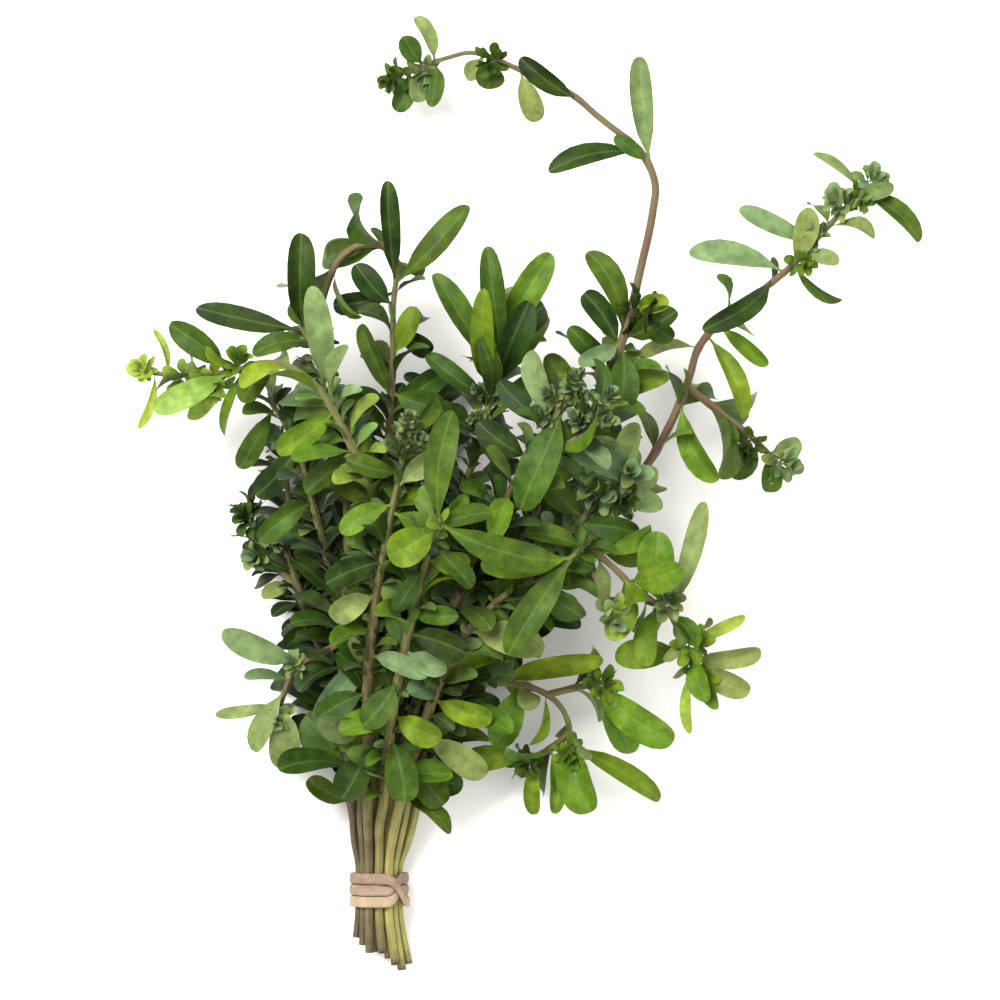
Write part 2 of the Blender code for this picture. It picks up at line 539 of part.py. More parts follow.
def turned_leaf(leaf, lift, swing, roll, share):
    """The same leaf, lifted, swung or rolled about its foot, and shortened."""
    ahead = leaf["tip"] - leaf["foot"]
    up = Vector(leaf["up"])
    axis = Vector(unit(np.cross(ahead, leaf["up"])))
    turn = Matrix.Rotation(math.radians(lift), 3, axis)
    turn = Matrix.Rotation(math.radians(swing), 3, up) @ turn
    aimed = turn @ Vector(ahead)
    up = Matrix.Rotation(math.radians(roll), 3, aimed.normalized()) @ (turn @ up)
    tip = leaf["foot"] + np.array(aimed) * share
    return make_leaf(leaf["foot"], tip, np.array(up), leaf["width"] * max(LEAST_WIDTH, share),
                     leaf["arch"] * share, leaf["sway"] * share)


class Thicket:
    """Everything placed so far, for keeping new leaves clear of it."""

    def __init__(self):
        self.trees, self.owners, self.stems, self.lows, self.highs = [], [], [], [], []

    def add(self, verts, faces, owner, stem=False):
        verts = np.array(verts)
        self.trees.append(BVHTree.FromPolygons([Vector(v) for v in verts], faces,
                                               all_triangles=True))
        self.owners.append(owner)
        self.stems.append(stem)
        self.lows.append(verts.min(axis=0))
        self.highs.append(verts.max(axis=0))

    def clear_of(self, leaf, corners, middle, out, owner):
        """Whether a leaf is clear of other sprigs, of its own stem and of its own leaves."""
        near_corners = middle + (corners - middle) * OWN_SHRINK + out * LEAF_CROWN
        trees = []
        for base, grow in ((corners, CLEAR_GAP), (near_corners, 0.0), (near_corners, CLEAR_GAP)):
            verts, faces = leaf_surface(leaf, base, grow)
            points = [Vector(v) for v in verts]
            trees.append(BVHTree.FromPolygons(points, faces, all_triangles=True))
            if base is corners:
                low, high = np.min(verts, axis=0), np.max(verts, axis=0)
        near = (np.array(self.lows) < high).all(axis=1) & (np.array(self.highs) > low).all(axis=1)
        for i in np.nonzero(near)[0]:
            own = self.owners[i] == owner
            tree = trees[0] if not own else trees[1] if self.stems[i] else trees[2]
            if tree.overlap(self.trees[i]):
                return False
        return True


def place_leaf(leaf, line, joint, side, thicket):
    """Grow a leaf from one side of a joint where it is clear of the rest."""
    corners, foot, out = face_at(line, joint["place"], side)
    leaf = dict(leaf, foot=foot)
    for lift, swing, roll, share in LEAF_TRIES:
        tried = turned_leaf(leaf, lift, swing, roll, share)
        aim = unit(tried["tip"] - foot)
        if tried["tip"][2] > HIGHEST or np.dot(aim, out) < LEAST_SPREAD:
            continue
        if thicket.clear_of(tried, corners, foot, out, line["sprig"]):
            verts, faces = leaf_surface(tried, corners)
            thicket.add(verts, faces, line["sprig"])
            joint["leaves"][side] = tried
            return True
    return False


def facing(ahead, roll):
    """Upper side of a leaf: upwards, rolled about its own line."""
    ahead = unit(ahead)
    up = unit(np.array((0.0, 0.0, 1.0)) - ahead * ahead[2])
    return np.array(Matrix.Rotation(math.radians(roll), 3, Vector(ahead)) @ Vector(up))


def joint_near(line, place):
    """A joint at a distance along a stem, if there is one there or room for one."""
    place = min(max(place, JOINT_FIRST), line["length"] - JOINT_LAST)
    for joint in line["joints"]:
        if abs(joint["place"] - place) < SAME_JOINT:
            return joint
    if all(abs(joint["place"] - place) > JOINT_ROOM for joint in line["joints"]):
        joint = dict(place=place, leaves={})
        line["joints"].append(joint)
        return joint
    return None


def shown_leaves(number, lines, thicket):
    """The single leaves that are listed for a sprig."""
    own = [line for line in lines if line["sprig"] == number]
    for k, (x, y, tip_x, tip_y, rise, width, roll) in enumerate(SPRIGS[number]["leaves"]):
        gaps = [np.linalg.norm(line["spots"][:, :2] - (x, y), axis=1) for line in own]
        line = own[int(np.argmin([gap.min() for gap in gaps]))]
        gap = np.linalg.norm(line["spots"][:, :2] - (x, y), axis=1)
        place = line["along"][int(np.argmin(gap))]
        height = line["spots"][int(np.argmin(gap))][2]
        tip = np.array((tip_x, tip_y, max(height + rise, LEAST_TIP_HEIGHT)))
        placed = False
        for shift in JOINT_SHIFTS:
            joint = joint_near(line, place + shift)
            if joint is None or placed:
                continue
            aims = [(np.dot(unit(tip - foot), out), side) for side in range(STEM_SIDES)
                    if side not in joint["leaves"]
                    for _, foot, out in [face_at(line, joint["place"], side)]]
            for spread, side in sorted(aims, reverse=True):
                foot = face_at(line, joint["place"], side)[1]
                length = np.linalg.norm(tip - foot)
                leaf = make_leaf(foot, tip, facing(tip - foot, roll), width,
                                 length * SHOWN_ARCH,
                                 length * SHOWN_SWAY * (1 if k % 2 else -1))
                if spread > LEAST_SPREAD and place_leaf(leaf, line, joint, side, thicket):
                    placed = True
                    break
    for line in own:
        line["joints"] = [joint for joint in line["joints"] if joint["leaves"]]


def grown_leaf(line, joint, side, size, lean, draw, thicket):
    """A leaf of the rule: out from its side of the stem, leaning towards the tip."""
    _, foot, out = face_at(line, joint["place"], side)
    _, ahead, _ = frame_at(line, joint["place"])
    swing = draw.uniform(-SWING_SHARE, SWING_SHARE)
    bent = unit(out + swing * np.cross(ahead, out))
    length = size * draw.uniform(*SIZE_RANGE)
    aim = ahead * math.cos(lean) + bent * math.sin(lean)
    up = unit(ahead * math.sin(lean) - bent * math.cos(lean))
    spread = np.array([draw.uniform(-FACE_SPREAD, FACE_SPREAD) for _ in range(3)])
    up = up + (0.0, 0.0, SKY_PULL) + spread
    up = unit(up - aim * np.dot(up, aim))
    leaf = make_leaf(foot, foot + aim * length, up, length * draw.uniform(*WIDTH_RANGE),
                     length * draw.uniform(*ARCH_RANGE),
                     length * draw.uniform(-SWAY_SHARE, SWAY_SHARE))
    place_leaf(leaf, line, joint, side, thicket)


def paired_leaves(number, lines, thicket):
    """Opposite pairs, each a quarter turn on from the last, closer towards the tip."""
    sprig = SPRIGS[number]
    draw = random.Random(sprig["seed"])
    spacing, low_size, high_size = sprig["pairs"]
    for line in [line for line in lines if line["sprig"] == number]:
        place = MAIN_FIRST_PAIR if line["main"] else SHOOT_FIRST_PAIR
        first_side = draw.choice((0, 1))
        while place < line["length"] - LAST_PAIR:
            far = place / line["length"]
            size = low_size + (high_size - low_size) * far ** 1.5
            spot = frame_at(line, place)[0]
            bare = spot[1] < LEAFY_FROM or spot[1] > sprig.get("leafy_to", math.inf)
            joint = None if bare else joint_near(line, place)
            if joint is not None:
                for side in (first_side, first_side + 2):
                    if side not in joint["leaves"]:
                        lean = math.radians(draw.uniform(*PAIR_LEAN))
                        grown_leaf(line, joint, side, size, lean, draw, thicket)
            axil = None if bare else joint_near(line, place + JOINT_ROOM + FLOOR_GAP)
            if axil is not None:
                for side in (first_side, first_side + 2):
                    if side not in axil["leaves"] and draw.random() < AXIL_SHARE:
                        lean = math.radians(draw.uniform(*AXIL_LEAN))
                        grown_leaf(line, axil, side, size * AXIL_SIZE, lean, draw, thicket)
            first_side = 1 - first_side
            place += spacing * (1.0 - CLOSING_UP * far) * draw.uniform(*SIZE_RANGE)
        tip_tuft(line, high_size, draw, thicket)
        line["joints"] = [joint for joint in line["joints"] if joint["leaves"]]
        line["joints"].sort(key=lambda joint: joint["place"])


def tip_tuft(line, size, draw, thicket):
    """Small leaves that close a stem, or the bracts all over a knot of buds."""
    knot = line["knot"]
    rows = KNOT_ROWS if knot else TIP_ROWS
    length = knot * KNOT_SIZE if knot else size * TIP_SIZE
    for back, degrees, count in rows:
        lean = math.radians(degrees)
        joint = joint_near(line, line["length"] - back * (knot or 1.0))
        first_side = draw.choice((0, 1))
        for k in range(count):
            side = (first_side + k * 4 // count) % STEM_SIDES
            if joint is not None and side not in joint["leaves"]:
                grown_leaf(line, joint, side, length, lean, draw, thicket)


def crossing_leaves(verts, faces, owners):
    """Leaves whose triangles cross others of the same surface."""
    tree = BVHTree.FromPolygons([Vector(v) for v in verts], faces, all_triangles=True)
    found = []
    for a, b in tree.overlap(tree):
        if a < b and not set(faces[a]) & set(faces[b]):
            found += [owner for owner in (owners[b], owners[a]) if owner is not None][:1]
    return found


def clean_sprig(line):
    """The surface of a stem with its leaves, less any leaf that crosses the rest."""
    while True:
        verts, faces, owners = sprig_surface(line)
        crossing = crossing_leaves(verts, faces, owners)
        if not crossing:
            return verts, faces
        number, side = crossing[0]
        del line["joints"][number]["leaves"][side]


def sprig_surface(line):
    """One stem with its leaves, as a single closed surface."""
    edges = [0.0, line["length"]]
    for joint in line["joints"]:
        half = joint_half(line, joint["place"])
        edges += [joint["place"] - half, joint["place"] + half]
    if line["knot"]:
        edges.append(line["length"] - line["knot"] * KNOT_FOOT)
    edges.sort()
    places = list(edges)
    for low, high in zip(edges, edges[1:]):
        extra = int((high - low) // RING_GAP)
        places += [low + (high - low) * (i + 1) / (extra + 1) for i in range(extra)]
    places.sort()
    grown_from = {round(joint["place"] - joint_half(line, joint["place"]), 6): number
                  for number, joint in enumerate(line["joints"])}
    verts, faces, owners = [], [], []
    for place in places:
        verts += ring_at(line, place)
    for i, place in enumerate(places[:-1]):
        joint = grown_from.get(round(place, 6))
        leaves = line["joints"][joint]["leaves"] if joint is not None else {}
        for side in range(STEM_SIDES):
            after = (side + 1) % STEM_SIDES
            numbers = [i * STEM_SIDES + side, i * STEM_SIDES + after,
                       (i + 1) * STEM_SIDES + after, (i + 1) * STEM_SIDES + side]
            shape = [(0, 1, 2), (0, 2, 3)]
            if side in leaves:
                corners = np.array([verts[n] for n in numbers])
                grown, shape = leaf_surface(leaves[side], corners)
                numbers += range(len(verts), len(verts) + len(grown) - 4)
                verts += grown[4:]
            faces += [tuple(numbers[n] for n in face) for face in shape]
            owners += [(joint, side) if side in leaves else None] * len(shape)
    last = (len(places) - 1) * STEM_SIDES
    for k in range(1, STEM_SIDES - 1):
        faces += [(0, k + 1, k), (last, last + k, last + k + 1)]
        owners += [None, None]
    return verts, faces, owners


def stem_tube(line):
    """The bare stem, for keeping leaves clear of it."""
    count = max(2, int(line["length"] / (RING_GAP / 3)))
    places = np.linspace(0.0, line["length"], count + 1)
    verts = [corner for place in places for corner in ring_at(line, place)]
    faces = []
    for i in range(count):
        for k in range(STEM_SIDES):
            a, b = i * STEM_SIDES + k, i * STEM_SIDES + (k + 1) % STEM_SIDES
            faces += [(a, b, b + STEM_SIDES), (a, b + STEM_SIDES, a + STEM_SIDES)]
    return verts, faces


def band_solid():
    """The band: one loop that goes round three times, and once crosses over itself."""
    verts, faces = [], []
    start = CROSSING_CENTRE - CROSSING_SPAN / 2
    total = BAND_TURNS * BAND_STEPS
    section = ((-0.5, 0.0), (-0.3, 0.5), (0.3, 0.5), (0.5, 0.0), (0.3, -0.5), (-0.3, -0.5))
    for step in range(total):
        lap, part = divmod(step, BAND_STEPS)
        turn = start + 2 * math.pi * part / BAND_STEPS
        crossed = min((turn - start) / CROSSING_SPAN, 1.0)
        moved = smooth_step((crossed - 0.25) / 0.5)
        lane = 1 - lap
        if lap == BAND_TURNS - 1:
            target, lift = 1, smooth_step(crossed / 0.25) * smooth_step((1 - crossed) / 0.25)
        else:
            target, lift = lane - 1, 0.0
        along = BAND_LANE * (lane + (target - lane) * moved)
        middle = (BAND_CORNER_RADIUS + BAND_SIDE_RADIUS) / 2
        wave = (BAND_CORNER_RADIUS - BAND_SIDE_RADIUS) / 2
        inner = middle + wave * math.cos(6 * turn)
        reach = inner + BAND_THICK / 2 + lift * (BAND_THICK + CLEAR_GAP)
        for across, deep in section:
            far = reach + deep * BAND_THICK
            verts.append(np.array((far * math.cos(turn), along + across * BAND_WIDTH,
                                   TIE_HEIGHT + far * math.sin(turn))))
    count = len(section)
    for step in range(total):
        after = (step + 1) % total
        for k in range(count):
            a, b = step * count + k, step * count + (k + 1) % count
            c, d = after * count + (k + 1) % count, after * count + k
            faces += [(a, b, c), (a, c, d)]
    return verts, faces


def mesh_object(name, verts, faces):
    mesh = bpy.data.meshes.new(name)
    mesh.from_pydata([tuple(v * TO_METRES) for v in np.array(verts)], [], faces)
    grid = bmesh.new()
    grid.from_mesh(mesh)
    bmesh.ops.recalc_face_normals(grid, faces=grid.faces)
    grid.to_mesh(mesh)
    grid.free()
    thing = bpy.data.objects.new(name, mesh)
    bpy.context.scene.collection.objects.link(thing)
    return thing


def material(name, colour, roughness):
    made = bpy.data.materials.new(name)
    made.use_nodes = True
    shader = made.node_tree.nodes["Principled BSDF"]
    shader.inputs["Base Color"].default_value = (*colour, 1.0)
    shader.inputs["Roughness"].default_value = roughness
    shader.inputs["Metallic"].default_value = 0.0
    return made


def join_parts(body, parts):
    """One Boolean union of a stem with all that grows from it."""
    group = bpy.data.collections.new(body.name + "_parts")
    bpy.context.scene.collection.children.link(group)
    for part in parts:
        bpy.context.scene.collection.objects.unlink(part)
        group.objects.link(part)
    union = body.modifiers.new("join", "BOOLEAN")
    union.operation = "UNION"
    union.operand_type = "COLLECTION"
    union.collection = group
    union.solver = "EXACT"
    bpy.context.view_layer.objects.active = body
    bpy.ops.object.modifier_apply(modifier=union.name)
    for part in parts:
        bpy.data.objects.remove(part)
    bpy.data.collections.remove(group)


def cut_at_surface(thing):
    """Flatten what would reach below the surface that the bunch lies on."""
    grid = bmesh.new()
    grid.from_mesh(thing.data)
    cut = bmesh.ops.bisect_plane(grid, geom=grid.verts[:] + grid.edges[:] + grid.faces[:],
                                 plane_co=(0, 0, 0), plane_no=(0, 0, -1), clear_outer=True)
    rims = [item for item in cut["geom_cut"] if isinstance(item, bmesh.types.BMEdge)]
    bmesh.ops.holes_fill(grid, edges=rims, sides=0)
    bmesh.ops.recalc_face_normals(grid, faces=grid.faces)
    grid.to_mesh(thing.data)
    grid.free()


def make_band():
    band = mesh_object("rubber_band", *band_solid())
    cut_at_surface(band)
    band.data.materials.append(material("band_rubber", (0.69, 0.47, 0.36), 0.7))


def make_sprigs():
    lines = stem_lines()
    ease_apart(lines)
    for line in lines:
        if line["main"]:
            set_frames(line)
            main = line
        else:
            gaps = np.linalg.norm(main["spots"] - line["points"][0], axis=1)
            line["points"][0] = main["spots"][int(np.argmin(gaps))]
            set_frames(line)
    thicket = Thicket()
    thicket.add(*band_solid(), -1)
    for line in lines:
        thicket.add(*stem_tube(line), line["sprig"], stem=True)
    for number in range(len(SPRIGS)):
        shown_leaves(number, lines, thicket)
    for number in range(len(SPRIGS)):
        paired_leaves(number, lines, thicket)
    for number, sprig in enumerate(SPRIGS):
        solids = [mesh_object(sprig["name"], *clean_sprig(line))
                  for line in lines if line["sprig"] == number]
        if len(solids) > 1:
            join_parts(solids[0], solids[1:])
        green = 0.10 + 0.02 * (number % 4)
        solids[0].data.materials.clear()
        solids[0].data.materials.append(
            material(sprig["name"] + "_green", (green * 0.7, green * 1.6, 0.02), 0.55))


for thing in list(bpy.data.objects):
    bpy.data.objects.remove(thing)
make_band()
make_sprigs()
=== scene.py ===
"""A bunch of fresh marjoram, laid flat on a pale table and tied with a rubber band."""
import math
import random

import bpy
import numpy as np
from mathutils import Matrix, Vector
from mathutils.bvhtree import BVHTree


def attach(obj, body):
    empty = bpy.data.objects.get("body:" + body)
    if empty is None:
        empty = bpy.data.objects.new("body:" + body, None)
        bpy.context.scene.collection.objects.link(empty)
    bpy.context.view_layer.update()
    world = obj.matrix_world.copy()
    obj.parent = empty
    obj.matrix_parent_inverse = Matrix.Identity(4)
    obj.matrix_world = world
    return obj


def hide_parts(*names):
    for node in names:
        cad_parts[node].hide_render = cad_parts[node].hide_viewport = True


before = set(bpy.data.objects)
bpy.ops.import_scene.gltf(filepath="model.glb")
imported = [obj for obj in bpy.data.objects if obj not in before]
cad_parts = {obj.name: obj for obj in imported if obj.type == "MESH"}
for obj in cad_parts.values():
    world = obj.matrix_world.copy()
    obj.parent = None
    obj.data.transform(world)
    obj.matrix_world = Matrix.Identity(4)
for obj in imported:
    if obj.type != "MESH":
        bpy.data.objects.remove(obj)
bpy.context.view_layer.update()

# The cut stems
# Nineteen square-shouldered herb stems, snapped off and gathered so that they pack in a
# hexagon under the band. Each has its route from the tie to its tip, in millimetres, its
# side shoots, its large leaves one by one and the spacing and sizes of its leaf pairs.
TO_METRES = 0.001
STEM_RADIUS = 1.08
STEM_PITCH = 2.0
STEM_SIDES = 4
SHOOT_SHARE = 0.68
TIP_RADIUS = 0.45
TAPER_POWER = 2.2
SQUEEZE = 0.79
SQUEEZED_TO = 20.0
SQUEEZE_FADE = 12.0
CLEAR_GAP = 0.3
ROUTE_STEP = 5.0
CURVE_STEP = 0.05
FRAME_STEP = 0.8
RING_GAP = 8.0
CUT_LEFT = 9.0
CUT_RIGHT = 15.0
CUT_STEPS = 7
CUT_STRIDE = 5
CUT_UNEVEN = 0.35
CUT_SPREAD = 1.3
CUT_SINK = 0.2
END_LEAN = 0.7
TIE_REACH = 4.3
HELD_TO = 9.0
BAND_THICK = 0.8
BAND_GAP = 0.4
TIE_RADIUS = STEM_RADIUS * SQUEEZE
BAND_SIDE_RADIUS = 2 * STEM_PITCH * math.cos(math.radians(30)) + TIE_RADIUS + BAND_GAP
FLATTENED = 0.06
TIE_HEIGHT = BAND_SIDE_RADIUS + BAND_THICK - FLATTENED
EASE_ROUNDS = 90
EASE_SAMPLES = 3
EASE_FROM = 8.0
EASE_ROOM = 0.3
EASE_SHARE = 0.25
EASE_MOST = 0.6
FLOOR_GAP = 0.05
KNOT_MIDDLE = 0.5
KNOT_FADE = 0.6
KNOT_SWELL = 0.3


def slot(ring, degrees):
    """Place of a stem in the tie: across and up from the middle of the bundle."""
    reach = STEM_PITCH * (ring if degrees % 60 == 0 else ring * math.cos(math.radians(30)))
    turn = math.radians(degrees)
    return (reach * math.cos(turn), TIE_HEIGHT + reach * math.sin(turn))


SPRIGS = (
    dict(name="sprig_top_middle", tie=slot(0, 0), seed=11, pairs=(11, 18, 9),
         route=((1.5, 20, 9), (6, 44, 16), (12, 66, 23), (17.5, 82, 27), (20.4, 90, 28), (22.4, 98.6, 28),
             (24.4, 105, 27), (24.4, 112.6, 26), (24.5, 117, 25)),
         leaves=((24.4, 110, 34.8, 127.5, 6, 7, 10), (22, 106, 21.8, 130, 5, 6, -15),
             (21.5, 104, 15.4, 126, 2, 6, 20), (24.4, 104, 33, 118, -5, 7, -10),
             (22, 99, 9.5, 108, 1, 5, 0))),
    dict(name="sprig_right", tie=slot(1, 0), seed=12, pairs=(15, 17, 8),
         route=((5, 20, 8), (16, 42, 14), (32, 62, 18), (46, 76, 20), (53.4, 85, 21), (61.8, 101.6, 20),
             (64.4, 109.6, 19), (72, 117, 17), (81.4, 124.2, 15), (90.4, 133.6, 12), (98.4, 142.6, 9)),
         shoots=(((61.8, 101.6, 20), (68, 96.4, 19), (74.4, 91.6, 17), (80, 86, 15)),),
         leaves=((79, 122.6, 65, 112.6, 11, 5.6, -10), (80, 123.6, 62, 128.6, 3, 5, 15),
             (87.5, 131, 72.4, 137.6, 2, 4.5, 10), (82.4, 124.8, 86.4, 137.4, 2, 5, 10),
             (97, 141, 109.4, 130.6, 1, 5, -20), (98, 142, 87.4, 148.6, 3, 2.6, 30),
             (85.4, 128.2, 92.5, 126.2, 2, 3.5, 0), (83, 126, 93.4, 118, -3, 3, 30),
             (66, 111, 73.4, 94.6, 4, 5, -10), (60, 98, 67.4, 82, 5, 6, 20), (68, 113, 78, 105, 1, 4, 10),
             (64, 109, 52, 107.6, 2, 4, 50), (76, 89.6, 70.4, 83.4, 1, 5.6, 0),
             (78, 87.6, 84.8, 90.4, 1, 4.8, 0), (79, 86.6, 78.4, 79.8, 0, 5, 0),
             (92, 136, 91, 142.6, 1, 3.6, 0), (95, 139.4, 104, 141.6, 1, 4, 0))),
    dict(name="sprig_knot_right", tie=slot(1, 60), seed=13, pairs=(11, 18, 10), knot=5.4,
         route=((3, 20, 11), (9, 42, 22), (17, 62, 32), (25, 78, 38), (32, 90, 40), (38.4, 100.6, 39)),
         shoots=(((30, 87, 39), (40, 91, 41), (44.5, 98, 41)),),
         leaves=((36, 96, 27.4, 76.6, 4, 8, 15), (37.5, 98, 39, 77.6, 3, 9, -10),
             (37, 97, 45.5, 88, -3, 5, 20), (34, 93, 30, 108, -2, 6, -20))),
    dict(name="sprig_left", tie=slot(1, 120), seed=14, pairs=(16, 17, 9),
         route=((-1, 20, 11), (-1, 44, 22), (-0.5, 62, 30), (0.4, 74.6, 34), (-5.6, 90.6, 36),
             (-13.6, 102.6, 34), (-21.6, 106, 31), (-28.6, 104.2, 28), (-35.6, 103.6, 25),
             (-42.6, 103.6, 22), (-46, 104.3, 20.5)),
         leaves=((-44.6, 103.6, -50.2, 105.6, 1, 4.5, 10), (-42, 104, -44.6, 112.6, 3, 2, 30),
             (-43, 103, -47.6, 92.6, 1, 2.2, -20), (-30, 105, -41.6, 113.6, 2, 6, 0),
             (-31, 104, -44.6, 96.6, 4, 6, 10), (-28.6, 103, -36.6, 92.2, 5, 5, -15),
             (-29, 103, -31.5, 91, -3, 3.5, 30), (-20, 106, -27, 98, 2, 5, 20))),
    dict(name="sprig_left_hanging", tie=slot(1, 180), seed=15, pairs=(12, 16, 9),
         route=((-2.5, 20, 7.6), (-5, 44, 13), (-9, 62, 18.5), (-12.6, 76.6, 23), (-15.4, 87.2, 25),
             (-18.5, 94, 25), (-22, 99, 24)),
         leaves=((-19, 94, -20, 74.5, 1, 7, 15), (-20, 96, -27.5, 84, -3, 4.5, -20),
             (-18, 92, -27, 93, -1, 5, 10))),
    dict(name="sprig_top_centre", tie=slot(1, 240), seed=16, pairs=(15, 17, 9),
         route=((-1, 20, 6), (-1, 44, 10), (0, 68, 15), (2, 90, 20), (3, 104.6, 23), (3.4, 120.6, 23),
             (4.4, 126.2, 22)),
         shoots=(((4.2, 125.4, 22), (0.4, 129.6, 24), (-5.6, 128.6, 25), (-10.6, 119.6, 23),
             (-12, 112, 20)),),
         leaves=((5, 126, 2, 142.2, 5, 5, 20), (5, 126, 18, 137.6, 3, 6, -10),
             (5, 125, 14.4, 121.6, 2, 3.4, 10), (4, 124, -0.5, 134, -2, 3, 30),
             (3.4, 118.6, -9.6, 117.6, -3, 5, 0), (2.6, 99, -4, 113.6, 4, 4.6, -15))),
    dict(name="sprig_curled", tie=slot(1, 300), seed=17, pairs=(15, 17, 7), leafy_to=118.0,
         route=((4, 20, 6), (13, 42, 10), (26, 64, 15), (38, 86, 20), (46, 103, 24), (49.8, 113.6, 25),
             (52.4, 124.6, 25), (54.8, 135.6, 24), (55.4, 141.6, 23), (53.6, 146.6, 22), (44.4, 155, 19),
             (38.4, 160.2, 17), (27.4, 165.4, 14), (18.4, 168.6, 11), (12.4, 167.2, 9),
             (4.6, 164.6, 7.6)),
         leaves=((54, 146, 52.6, 167.6, 2, 5.6, 10), (52.6, 147, 34, 144.2, 3, 5, 25),
             (40, 159, 28.4, 167.2, 4, 5, 0), (29, 165, 32.2, 154.6, -2, 5, -10),
             (6.4, 165.4, 3.4, 156.8, 1, 5, -10), (11.4, 167, 7.4, 176, 1, 4, 20),
             (10, 166.5, 5, 172, 2, 4.6, 0), (9, 166.2, 8.2, 158.6, 1, 5, 0),
             (12, 167, 10.4, 157, 0, 4, 0), (24.4, 166.8, 22, 161, 1, 6, 0),
             (21, 168, 17.8, 163, 1, 4.6, 0), (49, 112, 42.4, 128.6, 4, 6, 30),
             (50, 113, 59, 110.5, 1, 5, 10), (50.5, 115, 58, 118.5, 3, 5, -10),
             (48.6, 109, 48, 96, 3, 6.5, 0), (53.4, 147, 47, 151, 2, 3.4, 0))),
    dict(name="sprig_right_arch", tie=slot(2, 0), seed=18, pairs=(11, 17, 8),
         route=((7, 20, 8), (18, 42, 18), (30, 60, 26), (40.4, 69.6, 31), (46.5, 65.5, 33),
             (52.4, 60, 31), (57.4, 56.8, 28), (61.4, 48.6, 23), (63.4, 44, 20)),
         shoots=(((41.5, 69.2, 31.5), (43.5, 63, 33), (47.4, 56.6, 32)),),
         leaves=((56, 57.6, 56, 72.4, 5, 8, 0), (59, 56, 64.8, 78.6, 1, 4.6, -10),
             (61.5, 49, 74, 55.2, 0, 3, 10), (62, 47, 77, 48.6, 1, 5, 0), (51, 61, 46, 51, 3, 6, 0),
             (63, 45, 74.4, 40.6, 3, 6, -10), (63, 45, 69.4, 33.6, 2, 5, 0),
             (63, 45, 62.4, 31.5, -4, 2.4, 20), (60.5, 50, 46.8, 48, 0, 6, 10),
             (57, 58, 53.4, 45.6, 4, 5, 30), (62, 48, 66, 38, 5, 5, 20))),
    dict(name="sprig_rosette", tie=slot(2, 30), seed=19, pairs=(11, 17, 8),
         route=((6, 20, 10), (16, 40, 20), (28, 60, 28), (40, 74, 31), (48.8, 83, 32)),
         leaves=((45, 79, 43.6, 92, 4, 6, 10), (48, 82.4, 51, 94, 6, 6, -10),
             (44, 78, 57, 84, -2, 5.5, 0), (46, 80.4, 57, 77.6, 1, 5, 0), (41, 75, 33, 84, 3, 6, 0),
             (36, 70, 45, 64, -1, 6, 0))),
    dict(name="sprig_front_right", tie=slot(2, 60), seed=20, pairs=(11, 18, 9),
         route=((5, 20, 12), (10, 36, 22), (16, 50, 30), (26, 60, 35), (37, 66, 37), (42.5, 71, 37)),
         leaves=((18, 53, 33, 48.5, 6, 7, 0), (7, 27, 13.6, 17.4, 1, 7, 0), (8, 31, 22, 22.4, -1, 6, 0),
             (11, 39, 23, 35, 1, 6, 0), (13, 44, 25, 50, 2, 7, 0), (39, 67, 26, 47.6, 3, 7, -10),
             (37, 66, 21.4, 62.2, 5, 6, 10), (40, 69, 29, 72, 3, 5, 10), (30, 62, 40, 54, 4, 6, 15))),
    dict(name="sprig_front_centre", tie=slot(2, 90), seed=21, pairs=(14, 18, 10),
         route=((1, 18, 13), (3.6, 40, 27), (7.6, 58, 37), (10.6, 69, 42), (12, 73.4, 46),
             (12.4, 74.6, 50)),
         leaves=((12.4, 74.6, 15, 96.4, 2, 6.4, -10), (12, 73, 10.6, 90, -2, 4, 10),
             (12, 73.4, 2, 67.6, 1, 7.6, 0), (12.3, 74.4, 35, 66.6, -5, 7, 5),
             (12.3, 74.2, 22.2, 76, 1, 5, 0), (10, 65, 3.5, 56, 2, 5, -20), (2, 31, 5.4, 18.4, 1, 8, 0),
             (3, 36, 13, 31, 2, 6, 0), (4, 43, -3, 33.6, 2, 6, 0), (5.4, 49, 14, 45, 1, 5, 0),
             (11, 70, 19, 61, 0, 5, 0))),
    dict(name="sprig_knot_left", tie=slot(2, 120), seed=22, pairs=(14, 16, 9), knot=4.4,
         route=((-2, 20, 13), (-2, 42, 26), (0, 60, 36), (3, 76, 41), (5.5, 88, 42), (6.4, 92.6, 42)),
         leaves=((4, 84, -6, 86.6, 2, 5, 0), (3, 78, -7, 72, 1, 5, 10), (-2, 29, -7.4, 18.6, 1, 8, 0),
             (-2, 40, -12, 35, 0, 6, 0), (-1.4, 48, 10.6, 43.4, 3, 5, 0), (0, 60, -9, 55, 0, 6, 0),
             (6, 91, 13, 99, -4, 4.5, 20))),
    dict(name="sprig_upper_left", tie=slot(2, 150), seed=23, pairs=(12, 17, 9),
         route=((-4, 20, 10.4), (-7, 44, 18.5), (-6, 66, 25), (-6.5, 82, 28), (-8.6, 93, 28),
             (-10.6, 99.6, 28), (-12.6, 108.6, 27), (-15.6, 113.6, 26)),
         leaves=((-15, 113, -14.6, 131.8, 6, 7, 10), (-11, 100.6, -13, 121, 8, 6, -10),
             (-15, 112.5, -37.2, 118, -2, 5.5, 10), (-14, 111, -25, 107, 1, 5, 20),
             (-9, 94, -20, 97, -2, 5, 0))),
    dict(name="sprig_lower_left", tie=slot(2, 180), seed=24, pairs=(14, 15, 7),
         route=((-4.6, 14, 8), (-5, 26, 12), (-2, 38, 17), (0.6, 47, 21), (-3.6, 50.6, 23),
             (-9.6, 48.8, 22), (-15.6, 45.6, 19), (-18.6, 40.6, 15), (-20.4, 35, 12)),
         leaves=((-15, 46, -31.2, 52.4, 2, 5.5, 0), (-18, 42, -27.4, 43.4, -1, 2.6, 20),
